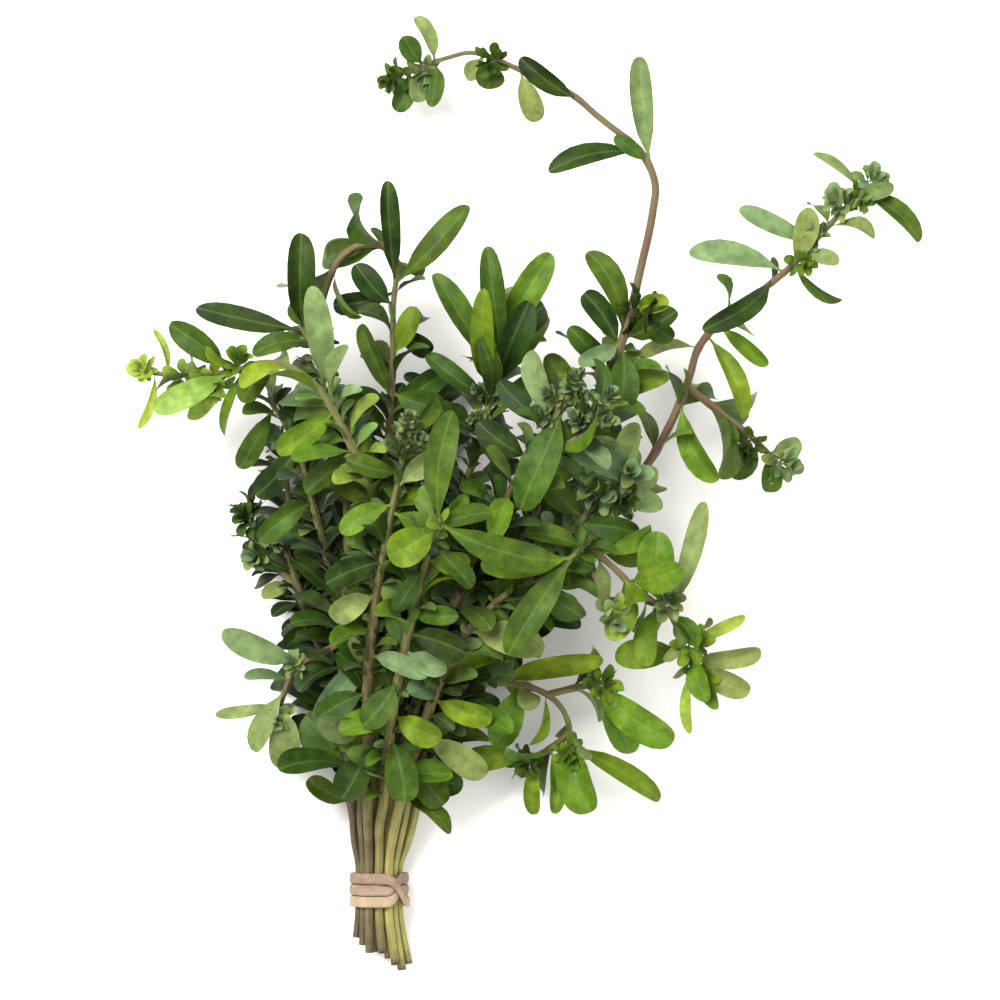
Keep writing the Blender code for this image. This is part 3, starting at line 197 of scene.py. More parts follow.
             (-19.4, 38, -33, 35.6, -1, 3, 10), (-20, 37, -25, 28, 1, 5, 0),
             (-20, 37, -19.6, 24.4, 2, 6.4, 0), (-1, 50, -10.6, 32.6, 4, 6, -15),
             (-1, 50.4, -15, 57, 0, 4, 0), (-4.8, 21, -14.8, 35.4, 4, 10, 10),
             (-4.8, 17.6, -14.4, 22.6, 1, 5, 0))),
    dict(name="sprig_left_middle", tie=slot(2, 210), seed=25, pairs=(11, 14, 7),
         route=((-4.5, 18, 5), (-8, 36, 8), (-13, 52, 11), (-18, 63, 13), (-22.5, 67, 12), (-25, 72, 11),
             (-26, 78, 11)),
         shoots=(((-15, 57, 12), (-17.6, 66, 14), (-19, 71, 15)),),
         leaves=((-18, 64, -27, 70, -2, 4, 0), (-17, 62, -23.4, 59, 2, 3.6, 0),
             (-14, 54, -19, 49, -2, 5, 0))),
    dict(name="sprig_under_left", tie=slot(2, 240), seed=26, pairs=(11, 18, 9),
         route=((-3, 18, 3.6), (-9, 40, 3.2), (-14, 60, 4), (-18, 78, 5), (-20, 90, 6))),
    dict(name="sprig_under_middle", tie=slot(2, 270), seed=27, pairs=(11, 19, 10),
         route=((0, 18, 2.4), (1, 42, 3), (4, 66, 3.6), (9, 88, 5), (12, 102, 6))),
    dict(name="sprig_under_right", tie=slot(2, 300), seed=28, pairs=(11, 19, 10),
         route=((3, 18, 3.6), (14, 40, 3.6), (27, 58, 4), (39, 74, 5), (47, 88, 6))),
    dict(name="sprig_lower_right", tie=slot(2, 330), seed=29, pairs=(14, 15, 8),
         route=((5.4, 14, 6.4), (9, 26, 8.5), (13, 37, 11), (20, 41.6, 13), (28, 41.5, 14),
             (35, 38.8, 14), (38.2, 34, 13), (38, 28, 11)),
         shoots=(((38.2, 32, 12.4), (33.6, 28, 11), (29, 25.8, 10)), ((34, 39.2, 14), (39.6, 41, 16),
             (44.6, 42, 17))),
         leaves=((25, 41.6, 45, 46.4, 9, 5.6, 0), (44, 42, 59.4, 30.2, 2, 8, 0),
             (43, 41.6, 50.8, 27, -2, 6.4, 0), (38.2, 32, 42.8, 16, 3, 9, 0),
             (38, 28, 57.4, 17.4, -2, 5, 0), (32, 27, 31.2, 14.8, 0, 4, 10),
             (34, 28, 35.4, 15.4, 2, 4, -10), (30, 26, 15.4, 25, 1, 5.6, 10),
             (26, 41.6, 23.4, 29, 3, 7, 0), (14, 38.4, -4, 45, 6, 4.4, 20), (7.6, 22, 17, 21, 1, 6, 0),
             (31, 40.6, 30.6, 35.6, 2, 5, 0))),
)


def unit(vector):
    return vector / max(np.linalg.norm(vector), 1e-9)


def smooth_points(points, step):
    """Evenly spaced points on a smooth curve through the given ones."""
    gaps = np.linalg.norm(np.diff(points, axis=0), axis=1)[:, None]
    slopes = np.diff(points, axis=0) / gaps
    inner = (slopes[:-1] * gaps[1:] + slopes[1:] * gaps[:-1]) / (gaps[1:] + gaps[:-1])
    slopes = np.concatenate((slopes[:1], inner, slopes[-1:]))
    dense = []
    for i, gap in enumerate(gaps[:, 0]):
        for t in np.arange(0.0, 1.0, CURVE_STEP):
            dense.append((2 * t ** 3 - 3 * t * t + 1) * points[i]
                         + (3 * t * t - 2 * t ** 3) * points[i + 1]
                         + gap * (t ** 3 - 2 * t * t + t) * slopes[i]
                         + gap * (t ** 3 - t * t) * slopes[i + 1])
    dense.append(points[-1])
    dense = np.array(dense)
    lengths = np.concatenate(([0.0], np.cumsum(np.linalg.norm(np.diff(dense, axis=0), axis=1))))
    count = max(2, round(lengths[-1] / step))
    places = np.linspace(0.0, lengths[-1], count + 1)
    return np.stack([np.interp(places, lengths, dense[:, i]) for i in range(3)], axis=1)


def stem_lines():
    """Centre lines of every stem and shoot, as dictionaries in one list."""
    lines = []
    for number, sprig in enumerate(SPRIGS):
        across, up = sprig["tie"]
        right = across / (4 * STEM_PITCH) + 0.5
        back = CUT_LEFT + (CUT_RIGHT - CUT_LEFT) * right
        back += (number * CUT_STRIDE) % CUT_STEPS * CUT_UNEVEN
        foot = (across * CUT_SPREAD + END_LEAN, -back, up - CUT_SINK)
        points = [foot, (across, -TIE_REACH, up), (across, 0.0, up), (across, TIE_REACH, up)]
        points += sprig["route"]
        main = smooth_points(np.array(points, dtype=float), ROUTE_STEP)
        lines.append(dict(sprig=number, points=main, main=True, thick=STEM_RADIUS,
                          knot=sprig.get("knot", 0.0), joints=[],
                          held=np.array([p[1] < HELD_TO for p in main])))
        for shoot in sprig.get("shoots", ()):
            points = smooth_points(np.array(shoot, dtype=float), ROUTE_STEP)
            lines.append(dict(sprig=number, points=points, main=False,
                              thick=STEM_RADIUS * SHOOT_SHARE, knot=0.0, joints=[],
                              held=np.array([True] + [False] * (len(points) - 1))))
    return lines


def smooth_step(t):
    t = min(max(t, 0.0), 1.0)
    return t * t * (3 - 2 * t)


def half_width(line, place, length):
    """Half width of a stem: squeezed in the tie, then a slow taper to its tip."""
    width = line["thick"] + (TIP_RADIUS - line["thick"]) * (place / length) ** TAPER_POWER
    if line["main"]:
        width *= SQUEEZE + (1 - SQUEEZE) * smooth_step((place - SQUEEZED_TO) / SQUEEZE_FADE)
    return width


def radius_at(line, place):
    """The same along a finished line, with the swelling where it ends in a knot."""
    radius = half_width(line, place, line["length"])
    if line["knot"]:
        off = abs((line["length"] - place) / line["knot"] - KNOT_MIDDLE) / KNOT_FADE
        radius += line["knot"] * KNOT_SWELL * (1.0 - min(1.0, off))
    return radius


def line_radii(line):
    """Half widths at the points of a line that is still being bent."""
    length = ROUTE_STEP * (len(line["points"]) - 1)
    return np.array([half_width(line, k * ROUTE_STEP, length)
                     for k in range(len(line["points"]))])


def ease_apart(lines):
    """Bend the stems clear of each other and of the surface, a little at a time."""
    for _ in range(EASE_ROUNDS):
        spots, radii, owner, index, share = [], [], [], [], []
        for number, line in enumerate(lines):
            points, thick = line["points"], line_radii(line)
            for i in range(len(points) - 1):
                for t in np.arange(0.0, 1.0, 1.0 / EASE_SAMPLES):
                    spots.append(points[i] * (1 - t) + points[i + 1] * t)
                    radii.append(thick[i] * (1 - t) + thick[i + 1] * t)
                    owner.append(number)
                    index.append(i)
                    share.append(t)
        spots, radii = np.array(spots), np.array(radii)
        sprig = np.array([lines[n]["sprig"] for n in owner])
        apart = np.linalg.norm(spots[:, None, :] - spots[None, :, :], axis=2)
        wanted = radii[:, None] + radii[None, :] + CLEAR_GAP + EASE_ROOM
        close = (apart < wanted) & (sprig[:, None] != sprig[None, :])
        close &= (spots[:, 1] > EASE_FROM)[:, None]
        moves = [np.zeros_like(line["points"]) for line in lines]
        for a, b in zip(*np.nonzero(close)):
            push = (spots[a] - spots[b]) / max(apart[a, b], 1e-6)
            push = push * (wanted[a, b] - apart[a, b]) * EASE_SHARE
            moves[owner[a]][index[a]] += push * (1 - share[a])
            moves[owner[a]][index[a] + 1] += push * share[a]
        for line, move in zip(lines, moves):
            size = np.linalg.norm(move, axis=1, keepdims=True)
            move = move * np.minimum(1.0, EASE_MOST / np.maximum(size, 1e-9))
            move[line["held"]] = 0.0
            line["points"] = line["points"] + move
            floor = line_radii(line) + FLOOR_GAP
            line["points"][:, 2] = np.maximum(line["points"][:, 2], floor)


def set_frames(line):
    """A fine copy of a line, with the direction and the side vector at each point."""
    spots = smooth_points(line["points"], FRAME_STEP)
    ahead = np.gradient(spots, axis=0)
    ahead = ahead / np.linalg.norm(ahead, axis=1, keepdims=True)
    side = unit(np.cross(ahead[0], (0.1, 0.0, 1.0)))
    sides = []
    for direction in ahead:
        side = unit(side - direction * np.dot(side, direction))
        sides.append(side)
    steps = np.linalg.norm(np.diff(spots, axis=0), axis=1)
    line["spots"], line["ahead"], line["side"] = spots, ahead, np.array(sides)
    line["along"] = np.concatenate(([0.0], np.cumsum(steps)))
    line["length"] = line["along"][-1]


def frame_at(line, place):
    """Centre, direction and side of a stem at a distance along it."""
    spot, ahead, side = [np.array([np.interp(place, line["along"], line[key][:, i])
                                   for i in range(3)]) for key in ("spots", "ahead", "side")]
    ahead = unit(ahead)
    return spot, ahead, unit(side - ahead * np.dot(side, ahead))


def ring_at(line, place):
    """The four corners of a stem at a distance along it."""
    spot, ahead, side = frame_at(line, place)
    up = np.cross(ahead, side)
    radius = radius_at(line, place)
    return [spot + radius * (math.cos(turn) * side + math.sin(turn) * up)
            for turn in np.arange(STEM_SIDES) * 2 * math.pi / STEM_SIDES]


lines = stem_lines()
ease_apart(lines)
for line in lines:
    if line["main"]:
        main = line
    else:
        gaps = np.linalg.norm(main["spots"] - line["points"][0], axis=1)
        line["points"][0] = main["spots"][int(np.argmin(gaps))]
    set_frames(line)

# The rubber band
# One loop of soft natural rubber, matt and dusty, wound three times round the stems. Its
# last turn climbs over the other two to meet the first, and its own stretch holds it.
BAND_WIDTH = 2.0
BAND_LANE = 2.32
BAND_TURNS = 3
BAND_STEPS = 18
BAND_FINE_STEPS = 90
BAND_SPREAD = 1.28
BAND_CORNER_RADIUS = 2 * STEM_PITCH + TIE_RADIUS + BAND_GAP
CROSSING_CENTRE = math.radians(50.0)
CROSSING_SPAN = math.radians(100.0)
BAND_SECTION = ((-0.5, 0.0), (-0.3, 0.5), (0.3, 0.5), (0.5, 0.0), (0.3, -0.5), (-0.3, -0.5))
# The turns towards the cut ends are painted a paler cream than the pink rubber: a painted highlight
PINK_FROM = 0.0012
CREAM_HIGHLIGHT_FROM = -0.0028
BAND_PINK = ((0.3, (0.18, 0.12, 0.09)), (0.7, (0.27, 0.195, 0.15)))
BAND_CREAM_HIGHLIGHT = ((0.3, (0.30, 0.225, 0.145)), (0.7, (0.40, 0.32, 0.22)))
BAND_DUST = ((0.4, (0.9, 0.9, 0.9)), (0.65, (1.12, 1.1, 1.08)))


def band_solid(steps):
    """The band: one loop that goes round three times, and once crosses over itself."""
    verts, faces = [], []
    start = CROSSING_CENTRE - CROSSING_SPAN / 2
    total = BAND_TURNS * steps
    count = len(BAND_SECTION)
    middle = (BAND_CORNER_RADIUS + BAND_SIDE_RADIUS) / 2
    wave = (BAND_CORNER_RADIUS - BAND_SIDE_RADIUS) / 2
    for step in range(total):
        lap, part = divmod(step, steps)
        turn = start + 2 * math.pi * part / steps
        crossed = min((turn - start) / CROSSING_SPAN, 1.0)
        moved = smooth_step((crossed - 0.25) / 0.5)
        lane, target, lift = 1 - lap, -lap, 0.0
        if lap == BAND_TURNS - 1:
            target, lift = 1, smooth_step(crossed / 0.25) * smooth_step((1 - crossed) / 0.25)
        along = BAND_LANE * (lane + (target - lane) * moved)
        inner = middle + wave * math.cos(6 * turn)
        reach = inner + BAND_THICK / 2 + lift * (BAND_THICK + CLEAR_GAP)
        for across, deep in BAND_SECTION:
            far = reach + deep * BAND_THICK
            verts.append(np.array((far * math.cos(turn), along + across * BAND_WIDTH,
                                   TIE_HEIGHT + far * math.sin(turn))))
        after = (step + 1) % total
        for k in range(count):
            a, b = step * count + k, step * count + (k + 1) % count
            c, d = after * count + (k + 1) % count, after * count + k
            faces += [(a, b, c), (a, c, d)]
    return verts, faces


class Skin:
    """A finish being made: its shader, and the nodes that feed it."""

    def __init__(self, name, roughness, gloss):
        self.material = bpy.data.materials.new(name)
        self.material.use_nodes = True
        self.tree = self.material.node_tree
        self.shader = self.tree.nodes["Principled BSDF"]
        self.shader.inputs["Roughness"].default_value = roughness
        self.shader.inputs["Specular IOR Level"].default_value = gloss
        self.place = self.node("TexCoord").outputs["Object"]

    def node(self, kind, **values):
        made = self.tree.nodes.new("ShaderNode" + kind)
        for key, value in values.items():
            setattr(made, key, value)
        return made

    def feed(self, socket, value):
        if isinstance(value, bpy.types.NodeSocket):
            self.tree.links.new(value, socket)
        else:
            socket.default_value = value

    def ramp(self, factor, stops):
        """A colour for each level of a number."""
        made = self.node("ValToRGB")
        while len(made.color_ramp.elements) < len(stops):
            made.color_ramp.elements.new(0.5)
        for element, (place, colour) in zip(made.color_ramp.elements, stops):
            element.position = place
            element.color = (*colour, 1.0)
        self.feed(made.inputs["Fac"], factor)
        return made.outputs["Color"]

    def mix(self, factor, first, second, how="MIX"):
        made = self.node("Mix", data_type="RGBA", blend_type=how)
        for key, value in ((0, factor), (6, first), (7, second)):
            self.feed(made.inputs[key], value)
        return made.outputs[2]

    def sum(self, kind, first, second=0.0):
        made = self.node("Math", operation=kind)
        self.feed(made.inputs[0], first)
        self.feed(made.inputs[1], second)
        return made.outputs[0]

    def span(self, value, start, end, low=0.0, high=1.0, how="SMOOTHSTEP"):
        """A number brought from one range to another."""
        made = self.node("MapRange", interpolation_type=how)
        for key, number in (("Value", value), ("From Min", start), ("From Max", end),
                            ("To Min", low), ("To Max", high)):
            self.feed(made.inputs[key], number)
        return made.outputs["Result"]

    def noise(self, scale, detail=3.0, roughness=0.55, where=None):
        made = self.node("TexNoise")
        for key, value in (("Scale", scale), ("Detail", detail), ("Roughness", roughness),
                           ("Vector", where or self.place)):
            self.feed(made.inputs[key], value)
        return made.outputs["Fac"]

    def split(self, kind, source, key):
        made = self.node(kind)
        self.feed(made.inputs[key], source)
        return made.outputs

    def finish(self, colour, height, strength, distance):
        """The colour and the bump, wired to the shader."""
        bump = self.node("Bump")
        for key, value in (("Strength", strength), ("Distance", distance), ("Height", height)):
            self.feed(bump.inputs[key], value)
        self.feed(self.shader.inputs["Normal"], bump.outputs["Normal"])
        self.feed(self.shader.inputs["Base Color"], colour)
        return self.material


def band_skin():
    skin = Skin("band_rubber_skin", 0.72, 0.3)
    cloud, dust = skin.noise(260.0, 4.0), skin.noise(1600.0)
    along = skin.split("SeparateXYZ", skin.place, "Vector")["Y"]
    # Paler cream on the turns towards the cut ends, as painted highlight
    lower = skin.span(along, PINK_FROM, CREAM_HIGHLIGHT_FROM, how="LINEAR")
    colour = skin.mix(lower, skin.ramp(cloud, BAND_PINK), skin.ramp(cloud, BAND_CREAM_HIGHLIGHT))
    colour = skin.mix(1.0, colour, skin.ramp(dust, BAND_DUST), "MULTIPLY")
    return skin.finish(colour, dust, 0.25, 0.0001)


def mesh_piece(name, verts, faces):
    mesh = bpy.data.meshes.new(name)
    mesh.from_pydata([tuple(v) for v in verts], [], faces)
    piece = bpy.data.objects.new(name, mesh)
    bpy.context.scene.collection.objects.link(piece)
    return piece


def select_only(piece):
    bpy.ops.object.select_all(action="DESELECT")
    piece.select_set(True)
    bpy.context.view_layer.objects.active = piece


def wound_band():
    """The band with round edges, wider than its solid, and flat where it lies."""
    verts, faces = band_solid(BAND_FINE_STEPS)
    verts = np.array(verts).reshape(-1, len(BAND_SECTION), 3)
    centre = verts.mean(axis=1, keepdims=True)
    verts = (centre + (verts - centre) * (1.0, BAND_SPREAD, 1.0)).reshape(-1, 3)
    verts[:, 2] = np.maximum(verts[:, 2], 0.0)
    piece = mesh_piece("band", verts * TO_METRES, faces)
    select_only(piece)
    bpy.ops.object.mode_set(mode="EDIT")
    bpy.ops.mesh.select_all(action="SELECT")
    bpy.ops.mesh.tris_convert_to_quads()
    bpy.ops.mesh.normals_make_consistent(inside=False)
    bpy.ops.object.mode_set(mode="OBJECT")
    smooth = piece.modifiers.new("round", "SUBSURF")
    smooth.levels = smooth.render_levels = 1
    bpy.ops.object.modifier_apply(modifier=smooth.name)
    bpy.ops.object.shade_smooth()
    return piece


def fitted(piece, material, node):
    """A finished piece with its finish, in the place of its plain solid."""
    piece.data.materials.clear()
    piece.data.materials.append(material)
    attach(piece, "root")
    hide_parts(node)


fitted(wound_band(), band_skin(), "rubber_band")

# Where the leaves grow
# Marjoram carries its leaves in opposite pairs, each pair a quarter turn on from the
# last, with small leaves in their axils and a tuft at the tip. No leaf cuts another stem.
KNOT_FOOT = 1.25
JOINT_HALF = 0.8
JOINT_ROOM = 2.0
JOINT_FIRST = 2.0
JOINT_LAST = 1.2
SAME_JOINT = 0.9
JOINT_SHIFTS = (0.0, 1.0, -1.0, 2.0, -2.0, 3.0, -3.0, 4.0, -4.0, 5.0, -5.0)
LEAF_THICK = 0.9
SMALL_LEAF = 9.0
SMALL_THICK = 0.7
LEAF_FOLD = 0.22
LEAF_CROWN = 0.12
LEAST_SPREAD = 0.3
LEAST_WIDTH = 0.75
LEAST_TIP_HEIGHT = 1.0
HIGHEST = 60.0
SHOWN_ARCH = 0.09
SHOWN_SWAY = 0.05
OWN_SHRINK = 0.8
LEAFY_FROM = 19.0
MAIN_FIRST_PAIR = 26.0
SHOOT_FIRST_PAIR = 6.0
LAST_PAIR = 4.5
CLOSING_UP = 0.45
PAIR_LEAN = (50, 75)
AXIL_LEAN = (24, 40)
AXIL_SHARE = 0.5
AXIL_SIZE = 0.52
SIZE_RANGE = (0.85, 1.15)
WIDTH_RANGE = (0.42, 0.54)
ARCH_RANGE = (0.04, 0.12)
SWAY_SHARE = 0.06
SWING_SHARE = 0.25
SKY_PULL = 0.8
FACE_SPREAD = 0.3
TIP_ROWS = ((1.1, 24, 2), (3.3, 52, 4))
TIP_SIZE = 0.75
KNOT_ROWS = ((0.95, 100, 4), (0.62, 80, 4), (0.34, 50, 4))
KNOT_SIZE = 0.85
LARGE_OUTLINE = ((0.38, 0.9), (0.76, 0.94))
SMALL_OUTLINE = ((0.6, 1.0),)
MOST_SOLIDS = 6000
# Ways to turn a leaf that doesn't fit: lift, swing and roll in degrees, share of its length
LEAF_TRIES = (
    (0, 0, 0, 1.0), (10, 0, 0, 1.0), (-10, 0, 0, 1.0), (0, 12, 0, 1.0), (0, -12, 0, 1.0),
    (20, 0, 0, 1.0), (-20, 0, 0, 1.0), (10, 12, 30, 0.95), (-10, -12, -30, 0.95),
    (0, 0, 60, 0.9), (0, 0, -60, 0.9), (30, 0, 0, 0.85), (-30, 0, 0, 0.85),
    (0, 26, 0, 0.8), (0, -26, 0, 0.8), (16, -22, 40, 0.7), (-16, 22, -40, 0.7),
    (0, 0, 0, 0.62), (40, 0, 0, 0.6), (-40, 0, 0, 0.6), (0, 45, 0, 0.55), (0, -45, 0, 0.55),
)
# How pale each stem's leaves are, how purple-brown its bark is, and a letter for each
# listed leaf: d dark, m middling, b bright, l lime, s grey-green
LOOKS = {
    "sprig_top_middle": (0.42, 0.2, "bmmbm"),
    "sprig_right": (0.50, 0.85, "dsssmssmbbbsmsmss"),
    "sprig_knot_right": (0.40, 0.5, "mbms"),
    "sprig_left": (0.72, 0.3, "lllmllbm"),
    "sprig_left_hanging": (0.35, 0.5, "mmd"),
    "sprig_top_centre": (0.35, 0.7, "dmmmdm"),
    "sprig_curled": (0.45, 0.75, "sddsmsmsmmsmmbmm"),
    "sprig_right_arch": (0.70, 0.6, "bslsbsblbbb"),
    "sprig_rosette": (0.50, 0.4, "ssssmm"),
    "sprig_front_right": (0.50, 0.5, "smsbbmbmm"),
    "sprig_front_centre": (0.62, 0.2, "mmbmmmmbmsm"),
    "sprig_knot_left": (0.45, 0.3, "mbdmssm"),
    "sprig_upper_left": (0.25, 0.4, "dsdmd"),
    "sprig_lower_left": (0.35, 0.9, "sssssssmm"),
    "sprig_left_middle": (0.15, 0.6, "dsd"),
    "sprig_under_left": (0.15, 0.6, ""),
    "sprig_under_middle": (0.15, 0.6, ""),
    "sprig_under_right": (0.20, 0.5, ""),
    "sprig_lower_right": (0.70, 0.4, "bbbbbbbbbmms"),
}


def joint_half(line, place):
    """Half the length of stem that a leaf grows from; less towards the tip."""
    return JOINT_HALF * (0.6 + 0.4 * (1.0 - place / line["length"]))


def face_at(line, place, side):
    """Corners, middle and outward direction of one side of a stem at a joint."""
    half = joint_half(line, place)
    low, high = ring_at(line, place - half), ring_at(line, place + half)
    after = (side + 1) % STEM_SIDES
    corners = np.array([low[side], low[after], high[after], high[side]])
    out = unit(np.cross(corners[1] - corners[0], corners[3] - corners[0]))
    return corners, corners.mean(axis=0), out


def make_leaf(foot, tip, up, width, arch, sway, tone=None):
    return dict(foot=foot, tip=tip, up=up, width=width, arch=arch, sway=sway, tone=tone)


def leaf_frame(leaf, t):
    """Centre, across and normal of a leaf at a fraction t of its length."""
    foot, tip = leaf["foot"], leaf["tip"]
    ahead = unit(tip - foot)
    across = unit(np.cross(ahead, leaf["up"]))
    normal = np.cross(across, ahead)
    bend = (foot + tip) / 2 + 2 * leaf["arch"] * normal + 2 * leaf["sway"] * across
    centre = (1 - t) ** 2 * foot + 2 * t * (1 - t) * bend + t * t * tip
    ahead = unit(2 * (1 - t) * (bend - foot) + 2 * t * (tip - bend))
    across = unit(np.cross(ahead, normal))
    return centre, across, np.cross(across, ahead)


def leaf_rings(leaf, grow=0.0):
    """Rings of four points up a leaf, then its tip; it lies on the surface at the lowest."""
    small = np.linalg.norm(leaf["tip"] - leaf["foot"]) < SMALL_LEAF
    outline = SMALL_OUTLINE if small else LARGE_OUTLINE
    thick = (SMALL_THICK if small else LEAF_THICK) + 2 * grow
    rings = []
    for t, share in outline:
        centre, across, normal = leaf_frame(leaf, t)
        half = leaf["width"] / 2 * share + grow
        rim = normal * LEAF_FOLD * half
        crown = LEAF_CROWN + grow
        ring = [centre - across * half + rim, centre + normal * crown,
                centre + across * half + rim, centre + normal * (crown - thick)]
        low = min(point[2] for point in ring)
        rings.append([point - (0.0, 0.0, min(low, 0.0)) for point in ring])
    tip = leaf_frame(leaf, 1.0)[0]
    return rings, np.array((tip[0], tip[1], max(tip[2], LEAF_CROWN)))


def leaf_surface(leaf, corners, grow=0.0):
    """Points and triangles of a leaf that grows out of four corners of a stem."""
    rings, tip = leaf_rings(leaf, grow)
    middles = [unit((corners[i] + corners[(i + 1) % 4]) / 2 - corners.mean(axis=0))
               for i in range(4)]
    centre = np.mean(rings[0], axis=0)
    spokes = [unit(point - centre) for point in rings[0]]
    turn = max(range(4), key=lambda k: sum(np.dot(middles[i], spokes[(i + k) % 4])
                                           for i in range(4)))
    verts = list(corners)
    for ring in rings:
        verts += ring
    verts.append(tip)
    faces = []
    for i in range(4):
        here, before = 4 + (i + turn) % 4, 4 + (i + turn + 3) % 4
        faces += [(i, (i + 1) % 4, here), (i, here, before)]
    for first in range(4, 4 * len(rings), 4):
        for k in range(4):
            a, b = first + k, first + (k + 1) % 4
            c, d = b + 4, a + 4
            faces += [(a, b, c), (a, c, d)] if k % 2 == 0 else [(a, b, d), (b, c, d)]
    last = 4 * len(rings)
    faces += [(last + k, last + (k + 1) % 4, last + 4) for k in range(4)]
    return verts, faces


def turned_leaf(leaf, lift, swing, roll, share):
    """The same leaf, lifted, swung or rolled about its foot, and shortened."""
    ahead = leaf["tip"] - leaf["foot"]
    up = Vector(leaf["up"])
    axis = Vector(unit(np.cross(ahead, leaf["up"])))
    turn = Matrix.Rotation(math.radians(lift), 3, axis)
    turn = Matrix.Rotation(math.radians(swing), 3, up) @ turn
    aimed = turn @ Vector(ahead)
    up = Matrix.Rotation(math.radians(roll), 3, aimed.normalized()) @ (turn @ up)
    tip = leaf["foot"] + np.array(aimed) * share
    return make_leaf(leaf["foot"], tip, np.array(up), leaf["width"] * max(LEAST_WIDTH, share),
                     leaf["arch"] * share, leaf["sway"] * share, leaf["tone"])


def tree_of(verts, faces):
    return BVHTree.FromPolygons([Vector(v) for v in verts], faces, all_triangles=True)


class Thicket:
    """Everything placed so far, for keeping new leaves clear of it."""

    def __init__(self):
        self.trees, self.owners, self.stems = [], [], []
        self.lows, self.highs = np.zeros((MOST_SOLIDS, 3)), np.zeros((MOST_SOLIDS, 3))
        self.gap, self.tries = CLEAR_GAP, LEAF_TRIES

    def add(self, verts, faces, owner, stem=False):
        self.lows[len(self.trees)] = np.min(verts, axis=0)
        self.highs[len(self.trees)] = np.max(verts, axis=0)
        self.trees.append(tree_of(verts, faces))
        self.owners.append(owner)
        self.stems.append(stem)

    def clear_of(self, leaf, corners, middle, out, owner):
        """Whether a leaf is clear of other sprigs, of its own stem and of its own leaves."""
        near_corners = middle + (corners - middle) * OWN_SHRINK + out * LEAF_CROWN
        kinds = ((corners, self.gap), (near_corners, min(self.gap, 0.0)),
                 (near_corners, self.gap))
        verts = leaf_surface(leaf, corners, self.gap)[0]
        low, high = np.min(verts, axis=0), np.max(verts, axis=0)
        count = len(self.trees)
        near = (self.lows[:count] < high).all(axis=1) & (self.highs[:count] > low).all(axis=1)
        made = {}
        for i in np.nonzero(near)[0]:
            kind = 0 if self.owners[i] != owner else 1 if self.stems[i] else 2
            if kind not in made:
                made[kind] = tree_of(*leaf_surface(leaf, *kinds[kind]))
            if made[kind].overlap(self.trees[i]):
                return False
        return True


def place_leaf(leaf, line, joint, side):
    """Grow a leaf from one side of a joint where it is clear of the rest."""
    corners, foot, out = face_at(line, joint["place"], side)
    leaf = dict(leaf, foot=foot)
    for lift, swing, roll, share in thicket.tries:
        tried = turned_leaf(leaf, lift, swing, roll, share)
        aim = unit(tried["tip"] - foot)
        if tried["tip"][2] > HIGHEST or np.dot(aim, out) < LEAST_SPREAD:
            continue
        if thicket.clear_of(tried, corners, foot, out, line["sprig"]):
            thicket.add(*leaf_surface(tried, corners), line["sprig"])
            joint["leaves"][side] = tried
            return True
    return False


def facing(ahead, roll):
    """Upper side of a leaf: upwards, rolled about its own line."""
    ahead = unit(ahead)
    up = unit(np.array((0.0, 0.0, 1.0)) - ahead * ahead[2])
    return np.array(Matrix.Rotation(math.radians(roll), 3, Vector(ahead)) @ Vector(up))


def joint_near(line, place):
    """A joint at a distance along a stem, if there is one there or room for one."""
    place = min(max(place, JOINT_FIRST), line["length"] - JOINT_LAST)
    for joint in line["joints"]:
        if abs(joint["place"] - place) < SAME_JOINT:
            return joint
    if all(abs(joint["place"] - place) > JOINT_ROOM for joint in line["joints"]):
        joint = dict(place=place, leaves={})
        line["joints"].append(joint)
        return joint
    return None


def own_lines(number):
    return [line for line in lines if line["sprig"] == number]


def start_of(number, x, y):
    """The stem or shoot of a sprig that passes nearest to a place, and its point there."""
    own = own_lines(number)
    gaps = [np.hypot(line["spots"][:, 0] - x, line["spots"][:, 1] - y) for line in own]
    best = min(range(len(own)), key=lambda k: gaps[k].min())
    return own[best], int(np.argmin(gaps[best]))


def listed_leaf(line, near, row, number, foot, tone):
    """A leaf from a list: where its tip is, how wide it is and how it is rolled."""
    tip_x, tip_y, rise, width, roll = row
    height = max(line["spots"][near][2] + rise, LEAST_TIP_HEIGHT)
    tip = np.array((tip_x, tip_y, height))
    length = np.linalg.norm(tip - foot)
    sway = length * SHOWN_SWAY * (1 if number % 2 else -1)
    return make_leaf(foot, tip, facing(tip - foot, roll), width, length * SHOWN_ARCH, sway, tone)


def shown_leaf(number, k, row):
    """Place one listed leaf at the joint and on the side that suit it best."""
    line, near = start_of(number, *row[:2])
    tone, placed = LOOKS[SPRIGS[number]["name"]][2][k], False
    for shift in JOINT_SHIFTS:
        joint = joint_near(line, line["along"][near] + shift)
        if joint is None or placed:
            continue
        aims = []
        for side in range(STEM_SIDES):
            if side not in joint["leaves"]:
                _, foot, out = face_at(line, joint["place"], side)
                leaf = listed_leaf(line, near, row[2:], k, foot, tone)
                aims.append((np.dot(unit(leaf["tip"] - foot), out), side, leaf))
        for spread, side, leaf in sorted(aims, key=lambda aim: aim[:2], reverse=True):
            if spread > LEAST_SPREAD and place_leaf(leaf, line, joint, side):
                placed = True
                break


def drop_bare_joints(number):
    for line in own_lines(number):
        line["joints"] = [joint for joint in line["joints"] if joint["leaves"]]


